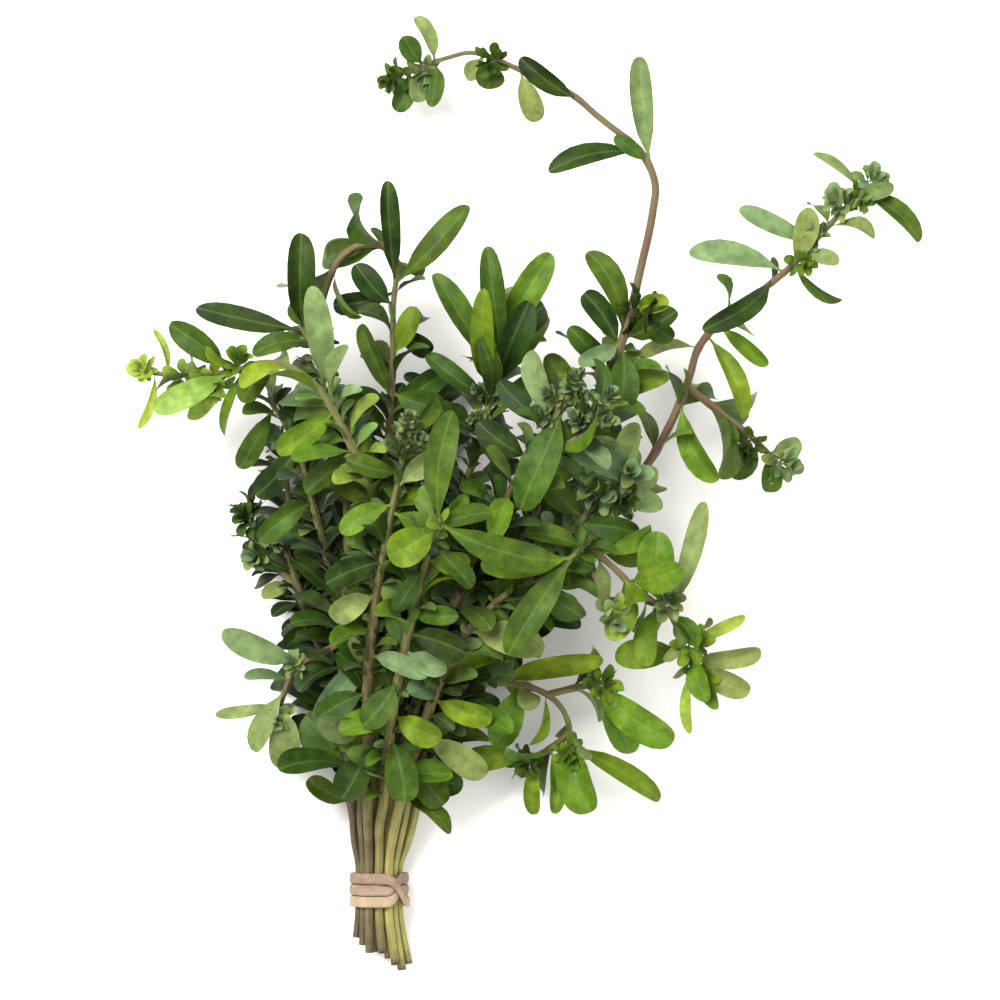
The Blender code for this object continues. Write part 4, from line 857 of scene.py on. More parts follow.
def grown_leaf(line, joint, side, size, lean, draw):
    """A leaf of the rule: out from its side of the stem, leaning towards the tip."""
    _, foot, out = face_at(line, joint["place"], side)
    _, ahead, _ = frame_at(line, joint["place"])
    swing = draw.uniform(-SWING_SHARE, SWING_SHARE)
    bent = unit(out + swing * np.cross(ahead, out))
    length = size * draw.uniform(*SIZE_RANGE)
    aim = ahead * math.cos(lean) + bent * math.sin(lean)
    up = unit(ahead * math.sin(lean) - bent * math.cos(lean))
    spread = np.array([draw.uniform(-FACE_SPREAD, FACE_SPREAD) for _ in range(3)])
    up = up + (0.0, 0.0, SKY_PULL) + spread
    up = unit(up - aim * np.dot(up, aim))
    leaf = make_leaf(foot, foot + aim * length, up, length * draw.uniform(*WIDTH_RANGE),
                     length * draw.uniform(*ARCH_RANGE),
                     length * draw.uniform(-SWAY_SHARE, SWAY_SHARE))
    place_leaf(leaf, line, joint, side)


def leafy(line, place):
    """Whether a stem carries leaves at a distance along it."""
    high = frame_at(line, place)[0][1]
    return LEAFY_FROM < high < SPRIGS[line["sprig"]].get("leafy_to", math.inf)


def paired_leaves(number):
    """Opposite pairs, each a quarter turn on from the last, closer towards the tip."""
    sprig = SPRIGS[number]
    draw = random.Random(sprig["seed"])
    spacing, low_size, high_size = sprig["pairs"]
    for line in own_lines(number):
        place = MAIN_FIRST_PAIR if line["main"] else SHOOT_FIRST_PAIR
        first_side = draw.choice((0, 1))
        while place < line["length"] - LAST_PAIR:
            far = place / line["length"]
            size = low_size + (high_size - low_size) * far ** 1.5
            rows = ((0.0, PAIR_LEAN, None, 1.0),
                    (JOINT_ROOM + FLOOR_GAP, AXIL_LEAN, AXIL_SHARE, AXIL_SIZE))
            for step, leans, share, scale in rows if leafy(line, place) else ():
                joint = joint_near(line, place + step)
                for side in (first_side, first_side + 2) if joint is not None else ():
                    if side in joint["leaves"] or share and draw.random() >= share:
                        continue
                    lean = math.radians(draw.uniform(*leans))
                    grown_leaf(line, joint, side, size * scale, lean, draw)
            first_side = 1 - first_side
            place += spacing * (1.0 - CLOSING_UP * far) * draw.uniform(*SIZE_RANGE)
        tip_tuft(line, high_size, draw)
        line["joints"].sort(key=lambda joint: joint["place"])
    drop_bare_joints(number)


def tip_tuft(line, size, draw):
    """Small leaves that close a stem, or the bracts all over a knot of buds."""
    knot = line["knot"]
    rows = KNOT_ROWS if knot else TIP_ROWS
    length = knot * KNOT_SIZE if knot else size * TIP_SIZE
    for back, degrees, count in rows:
        lean = math.radians(degrees)
        joint = joint_near(line, line["length"] - back * (knot or 1.0))
        first_side = draw.choice((0, 1))
        for k in range(count):
            side = (first_side + k * 4 // count) % STEM_SIDES
            if joint is not None and side not in joint["leaves"]:
                grown_leaf(line, joint, side, length, lean, draw)


def crossing_leaf(verts, faces, owners):
    """The first leaf whose triangles cross others of the same surface, if there is one."""
    tree = tree_of(verts, faces)
    for a, b in tree.overlap(tree):
        if a < b and not set(faces[a]) & set(faces[b]) and (owners[b] or owners[a]):
            return owners[b] or owners[a]
    return None


def sprig_surface(line):
    """One stem with its leaves, as a single closed surface."""
    edges = [0.0, line["length"]]
    for joint in line["joints"]:
        half = joint_half(line, joint["place"])
        edges += [joint["place"] - half, joint["place"] + half]
    if line["knot"]:
        edges.append(line["length"] - line["knot"] * KNOT_FOOT)
    edges.sort()
    places = list(edges)
    for low, high in zip(edges, edges[1:]):
        extra = int((high - low) // RING_GAP)
        places += [low + (high - low) * (i + 1) / (extra + 1) for i in range(extra)]
    places.sort()
    grown_from = {round(joint["place"] - joint_half(line, joint["place"]), 6): number
                  for number, joint in enumerate(line["joints"])}
    verts, faces, owners = [], [], []
    for place in places:
        verts += ring_at(line, place)
    for i, place in enumerate(places[:-1]):
        joint = grown_from.get(round(place, 6))
        leaves = line["joints"][joint]["leaves"] if joint is not None else {}
        for side in range(STEM_SIDES):
            after = (side + 1) % STEM_SIDES
            numbers = [i * STEM_SIDES + side, i * STEM_SIDES + after,
                       (i + 1) * STEM_SIDES + after, (i + 1) * STEM_SIDES + side]
            shape = [(0, 1, 2), (0, 2, 3)]
            if side in leaves:
                corners = np.array([verts[n] for n in numbers])
                grown, shape = leaf_surface(leaves[side], corners)
                numbers += range(len(verts), len(verts) + len(grown) - 4)
                verts += grown[4:]
            faces += [tuple(numbers[n] for n in face) for face in shape]
            owners += [(joint, side) if side in leaves else None] * len(shape)
    last = (len(places) - 1) * STEM_SIDES
    for k in range(1, STEM_SIDES - 1):
        faces += [(0, k + 1, k), (last, last + k, last + k + 1)]
        owners += [None, None]
    return verts, faces, owners


def clean_sprig(line):
    """Take off any leaf of a stem that crosses the rest of it."""
    crossing = crossing_leaf(*sprig_surface(line))
    while crossing:
        number, side = crossing
        del line["joints"][number]["leaves"][side]
        crossing = crossing_leaf(*sprig_surface(line))


def stem_tube(line):
    """The bare stem, for keeping leaves clear of it."""
    count = max(2, int(line["length"] / (RING_GAP / 3)))
    places = np.linspace(0.0, line["length"], count + 1)
    verts = [corner for place in places for corner in ring_at(line, place)]
    faces = []
    for i in range(count):
        for k in range(STEM_SIDES):
            a, b = i * STEM_SIDES + k, i * STEM_SIDES + (k + 1) % STEM_SIDES
            faces += [(a, b, b + STEM_SIDES), (a, b + STEM_SIDES, a + STEM_SIDES)]
    return verts, faces


thicket = Thicket()
thicket.add(*band_solid(BAND_STEPS), -1)
for line in lines:
    thicket.add(*stem_tube(line), line["sprig"], stem=True)
for number, sprig in enumerate(SPRIGS):
    for k, row in enumerate(sprig.get("leaves", ())):
        shown_leaf(number, k, row)
    drop_bare_joints(number)
for number in range(len(SPRIGS)):
    paired_leaves(number)
for line in lines:
    clean_sprig(line)

# Buds, rosettes and the leaves between the pairs
# The crowded middle of a bunch is full of side shoots that have only begun to open, and
# knots of buds and tufts of round leaves end the stems. They fill the room that is left.
EXTRA_GAP = -0.25
HALF_GROWN = dict(step=(5.0, 7.5), share=0.55, sizes=(0.75, 0.9, 1.0), start=26.0)
YOUNG = dict(step=(2.4, 3.4), share=0.8, sizes=(0.3, 0.42, 0.55, 0.65), start=22.0)
EXTRA_LEAN = (35, 80)
MORE_GAP = -0.7
EXTRA_TRIES = 9
FIRST_ON_SHOOT = 3.0
LAST_ON_STEM = 1.5
# How far up their stems some sprigs have such leaves, as a share. Their shoots have none
EXTRA_TO = {"sprig_right": 0.5, "sprig_right_arch": 0.62, "sprig_top_centre": 0.8,
            "sprig_left": 0.78, "sprig_lower_left": 0.62, "sprig_lower_right": 0.6}
MORE_SHIFTS = (0.0, 1.5, -1.5, 3.0, -3.0, 4.5, -4.5)
# More large leaves, as in the list of each stem, with a letter for the tone
MORE_LEAVES = {
    "sprig_top_middle": ((23, 101, 20.6, 130, 7, 6.4, 0, "b"), (22, 100, 14, 126, 4, 6.4, 10, "m"),
        (24.4, 108, 34, 118, -4, 6.4, 0, "d"), (22, 100, 12, 114, 2, 6, 0, "d"),
        (25, 101, 30.4, 119, 5, 7.6, 10, "d"), (23, 96, 34, 104, 3, 6, 0, "m"),
        (21, 92, 11, 98, 2, 5.6, 0, "d")),
    "sprig_knot_right": ((35, 94, 33, 117, -4, 6, 0, "d"), (34, 92, 41, 112, -5, 6.4, 10, "m"),
        (30, 87, 20, 94, 2, 6, 0, "d"), (27, 82, 22, 66, 3, 7, 0, "b")),
    "sprig_curled": ((47, 106, 36, 115, -2, 6.4, 0, "m"), (48.6, 110, 41, 120, -1, 6, 0, "d"),
        (48, 110, 39.4, 105.6, 3, 4.4, 0, "s"), (44.6, 99, 58, 107.4, 2, 6.2, 10, "b"),
        (43, 96, 34, 108, 3, 6, 0, "m"), (50, 114, 60, 116.6, 2, 6, 0, "d")),
    "sprig_top_centre": ((3, 112, 12, 107, 3, 6, 0, "d"), (3.2, 100, 14, 97, 2, 6, 0, "m"),
        (2.4, 96, 14, 104, 3, 6, 0, "m"), (3, 108, 13, 116, 3, 6, 0, "b"),
        (3.4, 116, -6, 124, 2, 5.4, 0, "d"), (2, 92, -9, 100, 3, 6, 0, "m")),
    "sprig_left": ((-9, 96, -20, 88, 3, 6, 0, "b"), (-4, 88, -14, 80, 2, 6, 0, "m"),
        (-2, 84, 8, 80, 3, 6.4, 0, "m")),
    "sprig_left_hanging": ((-16, 89, -25, 79, 1, 5.6, 0, "d"), (-13, 78, -24, 70, 1, 5.6, 0, "m")),
    "sprig_front_right": ((30, 62, 24, 75, 4, 6.4, 0, "b"), (24, 58, 36, 52, 3, 6.4, 0, "d")),
    "sprig_front_centre": ((8, 59, -4, 54, 2, 7, 0, "m"), (9, 63, 21, 56, 3, 7, 0, "b"),
        (6, 52, 18, 48, 2, 7, 0, "d")),
    "sprig_right_arch": ((33, 63, 44, 74, 3, 7, 0, "b"), (50, 62, 62, 66, 3, 7, 0, "b"),
        (56, 57, 46, 54, 1, 6, 0, "s")),
    "sprig_rosette": ((40, 74, 52, 72, 1, 6, 0, "m"), (34, 67, 46, 63, 1, 6, 0, "d")),
    "sprig_knot_left": ((3, 76, 13, 70, 2, 6, 0, "b"), (1, 66, -10, 62, 2, 6, 0, "d"),
        (4, 82, 14, 88, 3, 5.6, 0, "s")),
}
# Where on its stem each bud or rosette sits, its size, its tone and which way it leans
ROSETTES = {
    "sprig_curled": ((4.8, 164.6, 6.6, "m", -0.9, -0.6), (9, 166, 6, "s", 0.1, -1.1),
        (23, 167.4, 6, "m", -0.2, -0.5), (51.6, 116, 8, "d", 1.0, -0.3)),
    "sprig_right": ((80, 86, 6.4, "s", 0.6, -0.1), (75, 91, 6.4, "m", -0.4, -0.8),
        (98.2, 142.4, 6, "s", 0.4, 0.3), (94, 137.6, 6, "s", -0.7, 0.6), (96, 140, 5, "b", 0.7, -0.4),
        (88, 131, 5.4, "s", -0.5, 0.6), (84, 126.6, 5, "b", 0.8, -0.2)),
    "sprig_left": ((-46, 104.3, 5, "l", -0.5, 0.3), (-39, 103.6, 7, "l", 0.0, -0.8),
        (-33, 104, 7.5, "l", 0.1, -0.9), (-28, 104, 6, "b", 0.2, 0.8)),
    "sprig_right_arch": ((63.4, 44, 6, "b", 0.5, -0.2), (61, 50, 7, "b", 0.7, 0.2),
        (57, 57, 6.4, "s", 0.3, 0.6), (47.4, 57, 6.4, "s", 0.0, -0.5)),
    "sprig_rosette": ((48.6, 82.8, 8.6, "s", 0.2, 0.2), (45, 79, 8, "s", -0.5, 0.6),
        (46.4, 80.6, 8, "m", 0.7, -0.4)),
    "sprig_lower_left": ((-20.2, 36, 5.4, "s", 0.0, -0.5), (-16, 45, 5, "s", -0.4, 0.5)),
    "sprig_lower_right": ((38, 29, 5.6, "b", 0.2, -0.6), (44, 42, 6.4, "b", 0.6, -0.1),
        (30, 26.6, 5.6, "m", -0.4, -0.4)),
    "sprig_left_middle": ((-22, 68, 6.4, "s", -0.6, 0.0), (-24, 74, 6, "m", -0.5, 0.5)),
    "sprig_knot_right": ((38.4, 100.6, 5.4, "k", 0.3, 0.6), (36.4, 98, 5.2, "k", -0.9, 0.5),
        (37.6, 99.4, 5, "k", 0.9, 0.0), (34, 94, 5, "k", -0.8, 0.8), (44.4, 97.6, 5.4, "k", 0.5, 0.5),
        (43, 95, 5, "k", 0.9, -0.2), (41, 92.4, 5, "k", -0.6, 0.7)),
    "sprig_knot_left": ((6.4, 92.6, 4.8, "k", 0.0, 0.6), (6, 91, 4.4, "k", 0.9, 0.0),
        (5.4, 89.6, 4.4, "k", -0.9, 0.1)),
    "sprig_top_middle": ((22.6, 99.6, 4.6, "k", -0.9, 0.2), (21.4, 95, 4.6, "k", -0.8, -0.2)),
}
# Rows of a rosette from its foot up: place, lean in degrees and number of leaves
ROSETTE_ROWS = ((0.0, 88, 5), (0.14, 66, 5), (0.28, 42, 4), (0.4, 16, 3))
BUD_ROWS = ((0.0, 74, 6), (0.2, 56, 6), (0.4, 38, 5), (0.58, 20, 4), (0.72, 6, 2))
ROSETTE_RISE = 0.75
# Length and width of a round leaf and of a bud's bract, and how much they differ
ROSETTE_LEAF = (0.62, 0.62)
BUD_LEAF = (0.5, 0.72)
ROUND_SIZES = (0.8, 1.15)
ROUND_ARCH = 0.08
ROUND_TURN = 0.25
ROUND_LEAN = 10
ROUND_FOOT = 0.05
ROUND_SIDE = (0.3, 0.9, 0.2)
ROSETTE_SEED = 800
EXTRA_SEED = 200


def extra_leaves(line, kind, draw):
    """Half-grown or young leaves at random sides along a stem."""
    sprig = SPRIGS[line["sprig"]]
    low, high = sprig["pairs"][1:]
    if sprig["name"] in EXTRA_TO and not line["main"]:
        return
    place = kind["start"] if line["main"] else FIRST_ON_SHOOT
    until = line["length"] * EXTRA_TO.get(sprig["name"], 1.0) - LAST_ON_STEM
    while place < until:
        far = place / line["length"]
        if leafy(line, place):
            joint = dict(place=place, leaves={})
            for side in range(STEM_SIDES):
                if draw.random() < kind["share"]:
                    size = (low + (high - low) * far) * draw.choice(kind["sizes"])
                    lean = math.radians(draw.uniform(*EXTRA_LEAN))
                    grown_leaf(line, joint, side, size, lean, draw)
            line["young"] += joint["leaves"].values()
        place += draw.uniform(*kind["step"])


def more_leaf(number, k, row):
    """Place one more large leaf on the stem nearest to where it starts."""
    line, near = start_of(number, *row[:2])
    for shift in MORE_SHIFTS:
        place = min(max(line["along"][near] + shift, JOINT_FIRST), line["length"] - LAST_ON_STEM)
        joint = dict(place=place, leaves={})
        leaves = [listed_leaf(line, near, row[2:7], k, face_at(line, place, side)[1], row[7])
                  for side in range(STEM_SIDES)]
        side = max(range(STEM_SIDES), key=lambda m: np.dot(
            leaves[m]["tip"] - leaves[m]["foot"], face_at(line, place, m)[2]))
        if place_leaf(leaves[side], line, joint, side):
            line["young"] += joint["leaves"].values()
            return


def rosette(number, row, draw):
    """One ring above another of small round leaves; a bud's are closer and turned in."""
    x, y, size, tone, lean_x, lean_y = row
    line, near = start_of(number, x, y)
    axis = unit(np.array((lean_x, lean_y, ROSETTE_RISE)))
    rings, (tall, wide) = (BUD_ROWS, BUD_LEAF) if tone == "k" else (ROSETTE_ROWS, ROSETTE_LEAF)
    side = unit(np.cross(axis, ROUND_SIDE))
    other = np.cross(axis, side)
    for ring, (place, lean, count) in enumerate(rings):
        for k in range(count):
            turn = 2 * math.pi * (k + 0.5 * (ring % 2)) / count
            turn += draw.uniform(-ROUND_TURN, ROUND_TURN)
            out = side * math.cos(turn) + other * math.sin(turn)
            tilt = math.radians(lean + draw.uniform(-ROUND_LEAN, ROUND_LEAN))
            foot = line["spots"][near] + axis * size * place + out * size * ROUND_FOOT
            length = size * tall * draw.uniform(*ROUND_SIZES)
            tip = foot + (axis * math.cos(tilt) + out * math.sin(tilt)) * length
            tip[2] = max(tip[2], LEAST_TIP_HEIGHT)
            up = axis * math.sin(tilt) - out * math.cos(tilt)
            line["young"].append(make_leaf(foot, tip, up, length * wide, length * ROUND_ARCH,
                                           0.0, tone))


for line in lines:
    line["young"] = []
thicket.gap = MORE_GAP
for number, sprig in enumerate(SPRIGS):
    for k, row in enumerate(MORE_LEAVES.get(sprig["name"], ())):
        more_leaf(number, k, row)
thicket.gap, thicket.tries = EXTRA_GAP, LEAF_TRIES[:EXTRA_TRIES]
for number, sprig in enumerate(SPRIGS):
    draw = random.Random(ROSETTE_SEED + number)
    for row in ROSETTES.get(sprig["name"], ()):
        rosette(number, row, draw)
for kind in (HALF_GROWN, YOUNG):
    for number, line in enumerate(lines):
        extra_leaves(line, kind, random.Random(EXTRA_SEED + number))

# The stems
# Each stem is square-shouldered and a little swollen where leaves stand on it, under a
# soft, downy bark: pale yellow-green where it was cut, purple-brown or tan along the stem
# and green again near the tip. The cut ends are rough and hollowed.
STEM_STEP = 1.0
SWELLING = 0.16
SWELL_REACH = 1.1
PROFILE_SIDES = 8
PROFILE_DIP = 0.88
RIM_WALL = 0.22
PITH_DEPTH = 0.5
HAIR_LONG = 0.75
HAIR_THICK = 0.05
HAIRS_PER_MM = 2.2
HAIRS_FROM = 12.0
STEM_MERGED = math.radians(50)
HAIR_LEAN = (-0.2, 0.7)
HAIR_SIZES = (0.5, 1.0)
HAIR_SUNK = 0.85
LEAST_HEIGHT = 0.02
# Bark colours from the cut end to the tip, where it is green and where it is brown
BARK_GREEN = ((0.0, (0.30, 0.28, 0.09)), (0.2, (0.24, 0.23, 0.075)), (0.5, (0.17, 0.16, 0.06)),
              (1.0, (0.12, 0.16, 0.04)))
BARK_BROWN = ((0.0, (0.085, 0.065, 0.040)), (0.2, (0.095, 0.070, 0.038)),
              (0.5, (0.130, 0.082, 0.050)), (0.85, (0.130, 0.075, 0.055)),
              (1.0, (0.13, 0.12, 0.05)))
BARK_STREAKS = ((0.3, (0.62, 0.6, 0.6)), (0.7, (1.25, 1.25, 1.2)))
PITH_PALE = (0.20, 0.17, 0.08, 1.0)
PITH_DARK = (0.045, 0.027, 0.020, 1.0)
# How old the bark is along a stem, and how brown it is by the tie and at the very end
AGE = ((0.0, 20.0, 42.0, 60.0), (0.05, 0.0, 0.3, 0.5))
SHOOT_AGE = 0.6
TIED_TO_OPEN = (20.0, 45.0)
BROWN_END = (0.5, 2.6)
GRAIN_LENGTH = 10.0
# Stems on the left of the tie are brown down to their ends
BROWN_SIDE = (0.1875, 0.8125)
HAIR_BROWN = 0.3
HAIR_SEED = 600


def stem_skin():
    skin = Skin("stem_skin", 0.66, 0.15)
    skin.shader.inputs["Sheen Weight"].default_value = 0.05
    skin.shader.inputs["Sheen Roughness"].default_value = 0.5
    tone = skin.node("Attribute", attribute_name="stem_tone").outputs["Color"]
    age, brown, cut = skin.split("SeparateColor", tone, "Color")
    stretch = skin.node("Mapping")
    stretch.inputs["Scale"].default_value = (9.0, 0.6, 1.0)
    skin.feed(stretch.inputs["Vector"], skin.node("UVMap", uv_map="grain").outputs["UV"])
    streak = skin.noise(3.0, 4.0, 0.6, stretch.outputs["Vector"])
    patch = skin.sum("SUBTRACT", skin.noise(160.0, 2.0), 0.5)
    how = skin.sum("ADD", brown, skin.sum("MULTIPLY", patch, 1.4))
    how = skin.split("Clamp", how, "Value")[0]
    colour = skin.mix(how, skin.ramp(age, BARK_GREEN), skin.ramp(age, BARK_BROWN))
    colour = skin.mix(1.0, colour, skin.ramp(streak, BARK_STREAKS), "MULTIPLY")
    colour = skin.mix(cut, colour, skin.mix(brown, PITH_PALE, PITH_DARK))
    return skin.finish(colour, streak, 0.5, 0.0002)


def stem_profile():
    """The section of a stem: a circle of eight points with four pulled in."""
    curve = bpy.data.curves.new("stem_profile", "CURVE")
    spline = curve.splines.new("POLY")
    spline.points.add(PROFILE_SIDES - 1)
    for k, point in enumerate(spline.points):
        turn = 2 * math.pi * k / PROFILE_SIDES
        reach = (1.0 if k % 2 == 0 else PROFILE_DIP) * TO_METRES
        point.co = (reach * math.cos(turn), reach * math.sin(turn), 0.0, 1.0)
    spline.use_cyclic_u = True
    outline = bpy.data.objects.new("stem_profile", curve)
    bpy.context.scene.collection.objects.link(outline)
    return outline


def stem_piece(line, name):
    """One stem or shoot, swept along its line."""
    count = max(4, round(line["length"] / STEM_STEP))
    curve = bpy.data.curves.new(name, "CURVE")
    curve.dimensions = "3D"
    curve.bevel_mode = "OBJECT"
    curve.bevel_object = profile
    curve.use_fill_caps = True
    spline = curve.splines.new("POLY")
    spline.points.add(count)
    for point, place in zip(spline.points, np.linspace(0.0, line["length"], count + 1)):
        near = min([abs(place - joint["place"]) for joint in line["joints"]] or [math.inf])
        point.co = (*(frame_at(line, place)[0] * TO_METRES), 1.0)
        swelling = 1.0 + SWELLING * math.exp(-(near / SWELL_REACH) ** 2)
        point.radius = radius_at(line, place) * swelling
    piece = bpy.data.objects.new(name, curve)
    bpy.context.scene.collection.objects.link(piece)
    select_only(piece)
    bpy.ops.object.convert(target="MESH")
    return bpy.context.object


def picked(mesh, kind, chosen):
    """Go to edit mode with only the vertices or faces selected that a test chooses."""
    bpy.ops.object.mode_set(mode="EDIT")
    bpy.ops.mesh.select_mode(type=kind)
    bpy.ops.mesh.select_all(action="DESELECT")
    bpy.ops.object.mode_set(mode="OBJECT")
    for part in mesh.vertices if kind == "VERT" else mesh.polygons:
        part.select = bool(chosen(part))
    bpy.ops.object.mode_set(mode="EDIT")


def hollow_end(piece, line):
    """The cut end of a stem, with its rim left and its pith sunk in."""
    foot, ahead, _ = frame_at(line, 0.0)
    near = STEM_RADIUS * 1.5 * TO_METRES
    foot, back = Vector(foot * TO_METRES), -Vector(ahead)
    picked(piece.data, "FACE",
           lambda face: (face.center - foot).length < near and face.normal.dot(back) > 0.9)
    bpy.ops.mesh.inset(thickness=RIM_WALL * TO_METRES, depth=0.0)
    bpy.ops.mesh.inset(thickness=RIM_WALL * TO_METRES / 2, depth=-PITH_DEPTH * TO_METRES)
    bpy.ops.mesh.select_mode(type="VERT")
    bpy.ops.object.mode_set(mode="OBJECT")


def paint_stem(piece, line, brown, skin_count):
    """Along the stem, how brown it is, and which faces are cut."""
    mesh = piece.data
    while mesh.uv_layers:
        mesh.uv_layers.remove(mesh.uv_layers[0])
    spots = line["spots"][::2] * TO_METRES
    where = np.array([v.co for v in mesh.vertices])
    gaps = np.linalg.norm(where[:, None, :] - spots[None, :, :], axis=2)
    along = line["along"][::2][gaps.argmin(axis=1)]
    if line["main"]:
        age = np.interp(along, (*AGE[0], line["length"]), (*AGE[1], 1.0))
        left = 0.5 - SPRIGS[line["sprig"]]["tie"][0] / (4 * STEM_PITCH)
        left = np.interp(left, BROWN_SIDE, (0.0, 1.0))
        purple = np.interp(along, TIED_TO_OPEN, (0.0, 1.0)) * (brown - left) + left
        purple = np.maximum(purple, np.interp(along, BROWN_END, (1.0, 0.0)))
    else:
        age = SHOOT_AGE + (1.0 - SHOOT_AGE) * along / line["length"]
        purple = np.full(len(where), brown)
    tone = mesh.color_attributes.new("stem_tone", "FLOAT_COLOR", "CORNER")
    grain = mesh.uv_layers.new(name="grain")
    for face in mesh.polygons:
        cut = 1.0 if max(face.vertices) >= skin_count else 0.0
        turns = [(index % PROFILE_SIDES) / PROFILE_SIDES for index in face.vertices]
        wide = max(turns) - min(turns) > 0.5
        for loop, index, turn in zip(face.loop_indices, face.vertices, turns):
            tone.data[loop].color = (age[index], purple[index], cut, 1.0)
            grain.data[loop].uv = (turn + (1.0 if wide and turn < 0.5 else 0.0),
                                   along[index] / GRAIN_LENGTH)


def taken_shape(blank):
    """The points and faces of a shape that is copied many times; the blank goes."""
    shape = np.array([v.co for v in blank.data.vertices])
    faces = [tuple(face.vertices) for face in blank.data.polygons]
    bpy.data.objects.remove(blank)
    return shape, faces


def one_hair():
    """A thin three-sided spike, one unit high, standing on its base."""
    bpy.ops.object.select_all(action="DESELECT")
    bpy.ops.mesh.primitive_cone_add(vertices=3, radius1=1.0, radius2=0.0, depth=1.0,
                                    end_fill_type="TRIFAN", location=(0, 0, 0.5))
    bpy.ops.object.transform_apply(location=True)
    return taken_shape(bpy.context.object)


def stem_hairs(line, name, brown, draw):
    """Short pale hairs that stand out all round a stem."""
    shape, shape_faces = hair
    verts, faces = [], []
    for _ in range(int(line["length"] * HAIRS_PER_MM)):
        place = draw.uniform(1.0, line["length"] - 0.5)
        centre, ahead, across = frame_at(line, place)
        if centre[1] < HAIRS_FROM:
            continue
        turn = draw.uniform(0, 2 * math.pi)
        out = across * math.cos(turn) + np.cross(ahead, across) * math.sin(turn)
        out = unit(out + ahead * draw.uniform(*HAIR_LEAN))
        side = unit(np.cross(out, ahead))
        root = centre + out * radius_at(line, place) * HAIR_SUNK
        tall = HAIR_LONG * draw.uniform(*HAIR_SIZES)
        axes = np.array((side * HAIR_THICK / 2, np.cross(out, side) * HAIR_THICK / 2, out * tall))
        points = root + shape @ axes
        points[:, 2] = np.maximum(points[:, 2], LEAST_HEIGHT)
        faces += [tuple(len(verts) + index for index in face) for face in shape_faces]
        verts += list(points * TO_METRES)
    piece = mesh_piece(name, verts, faces)
    tone = piece.data.color_attributes.new("stem_tone", "FLOAT_COLOR", "CORNER")
    for point in tone.data:
        point.color = (0.0, brown * HAIR_BROWN, 0.0, 1.0)
    piece.data.uv_layers.new(name="grain")
    return piece


hair = one_hair()
stem_material = stem_skin()
profile = stem_profile()
for number, sprig in enumerate(SPRIGS):
    name, brown = sprig["name"].replace("sprig", "stem"), LOOKS[sprig["name"]][1]
    pieces, draw = [], random.Random(HAIR_SEED + number)
    for line in own_lines(number):
        piece = stem_piece(line, name)
        skin_count = len(piece.data.vertices)
        if line["main"]:
            hollow_end(piece, line)
        paint_stem(piece, line, brown, skin_count)
        pieces += [piece, stem_hairs(line, name, brown, draw)]
    select_only(pieces[0])
    for piece in pieces:
        piece.select_set(True)
    bpy.ops.object.join()
    stem = bpy.context.object
    stem.name = stem.data.name = name
    bpy.ops.object.shade_smooth_by_angle(angle=STEM_MERGED)
    fitted(stem, stem_material, sprig["name"])
bpy.data.objects.remove(profile)

# The leaves
# Oval, blunt-tipped leaves on short stalks, soft and downy, with a paler midrib and side
# veins, and folded a little along the midrib. One flat leaf is modelled for each size as
# a single sheet, and each leaf is that one, bent to its place.
BLADE_THICK = 0.34
STALK_THICK = 0.5
STALK_REACH = 0.1
EDGE_WAVE = 0.1
FOLD_RANGE = (0.5, 3.0)
TWIST = 0.5
TIP_CURL = 0.45
WAVE_BEATS = (5, 9)
CURL_FROM = 0.45
FOLD_NARROWS = 0.35
FULL_BLADE = 24.0
# Rows of a flat leaf from its foot to its tip: place and half width
LARGE_ROWS = ((0.0, 0.11), (0.09, 0.13), (0.18, 0.38), (0.29, 0.72), (0.42, 0.94),
              (0.56, 1.06), (0.70, 1.06), (0.82, 0.93), (0.905, 0.71), (0.96, 0.48),
              (0.99, 0.24), (1.0, 0.0))
SMALL_ROWS = ((0.0, 0.12), (0.13, 0.19), (0.27, 0.62), (0.43, 0.96), (0.6, 1.08), (0.77, 0.97),
              (0.9, 0.7), (0.975, 0.34), (1.0, 0.0))
BLADE_STRIPS = 4
ASIDE = 2.0
# Where the sheet of a leaf lies in the wall it is made from, from 0 above to -1 below
SHEET_HEIGHT = -0.5
# Where the bunch is crowded: across, along, half width and half length
CROWD = (10.0, 66.0, 34.0, 48.0)
# Painted shade: leaves in the crowded middle are darkened, and the lower they lie under the top height,
# the darker
CROWD_PAINTED_SHADE = 0.1
TOP_HEIGHT = 45.0
DEPTH_PAINTED_SHADE = 0.46
# Tones: how light, and how grey-green
TONES = {"d": (0.10, 0.0), "m": (0.32, 0.05), "b": (0.62, 0.0), "l": (0.86, 0.1),
         "s": (0.55, 0.85), "k": (0.42, 1.0)}
TONE_SPREAD = 0.05
SHADE_SPREAD = (-0.2, 0.17)
SAGE_CHOICES = (0.0, 0.0, 0.15, 0.35, 0.8)
LEAF_MERGED = math.radians(60)
LEAF_SEED = 400
# The midrib, and side veins that slant towards the tip, on the blade map
RIB_EDGE = (0.02, 0.065)
VEIN_SLANT = 0.62
VEIN_PITCH = 52.0
VEIN_EDGE = (0.72, 1.0)
VEIN_DEPTH = 0.16
# Leaf colours from a dark leaf to a light one, green and grey-green, and the shift to yellow
LEAF_GREEN = ((0.0, (0.007, 0.018, 0.002)), (0.3, (0.026, 0.060, 0.003)),
              (0.6, (0.074, 0.140, 0.006)), (0.85, (0.165, 0.255, 0.020)),
              (1.0, (0.280, 0.370, 0.055)))
LEAF_SAGE = ((0.0, (0.035, 0.058, 0.020)), (0.5, (0.125, 0.180, 0.070)),
             (1.0, (0.260, 0.340, 0.140)))
LEAF_YELLOW = ((0.0, (0.82, 0.95, 1.3)), (0.5, (1.0, 1.0, 1.0)), (1.0, (1.22, 1.04, 0.8)))
LEAF_SPOTS = ((0.3, (0.70, 0.73, 0.69)), (0.7, (1.33, 1.29, 1.22)))
VEIN_PALE = (0.24, 0.30, 0.09, 1.0)


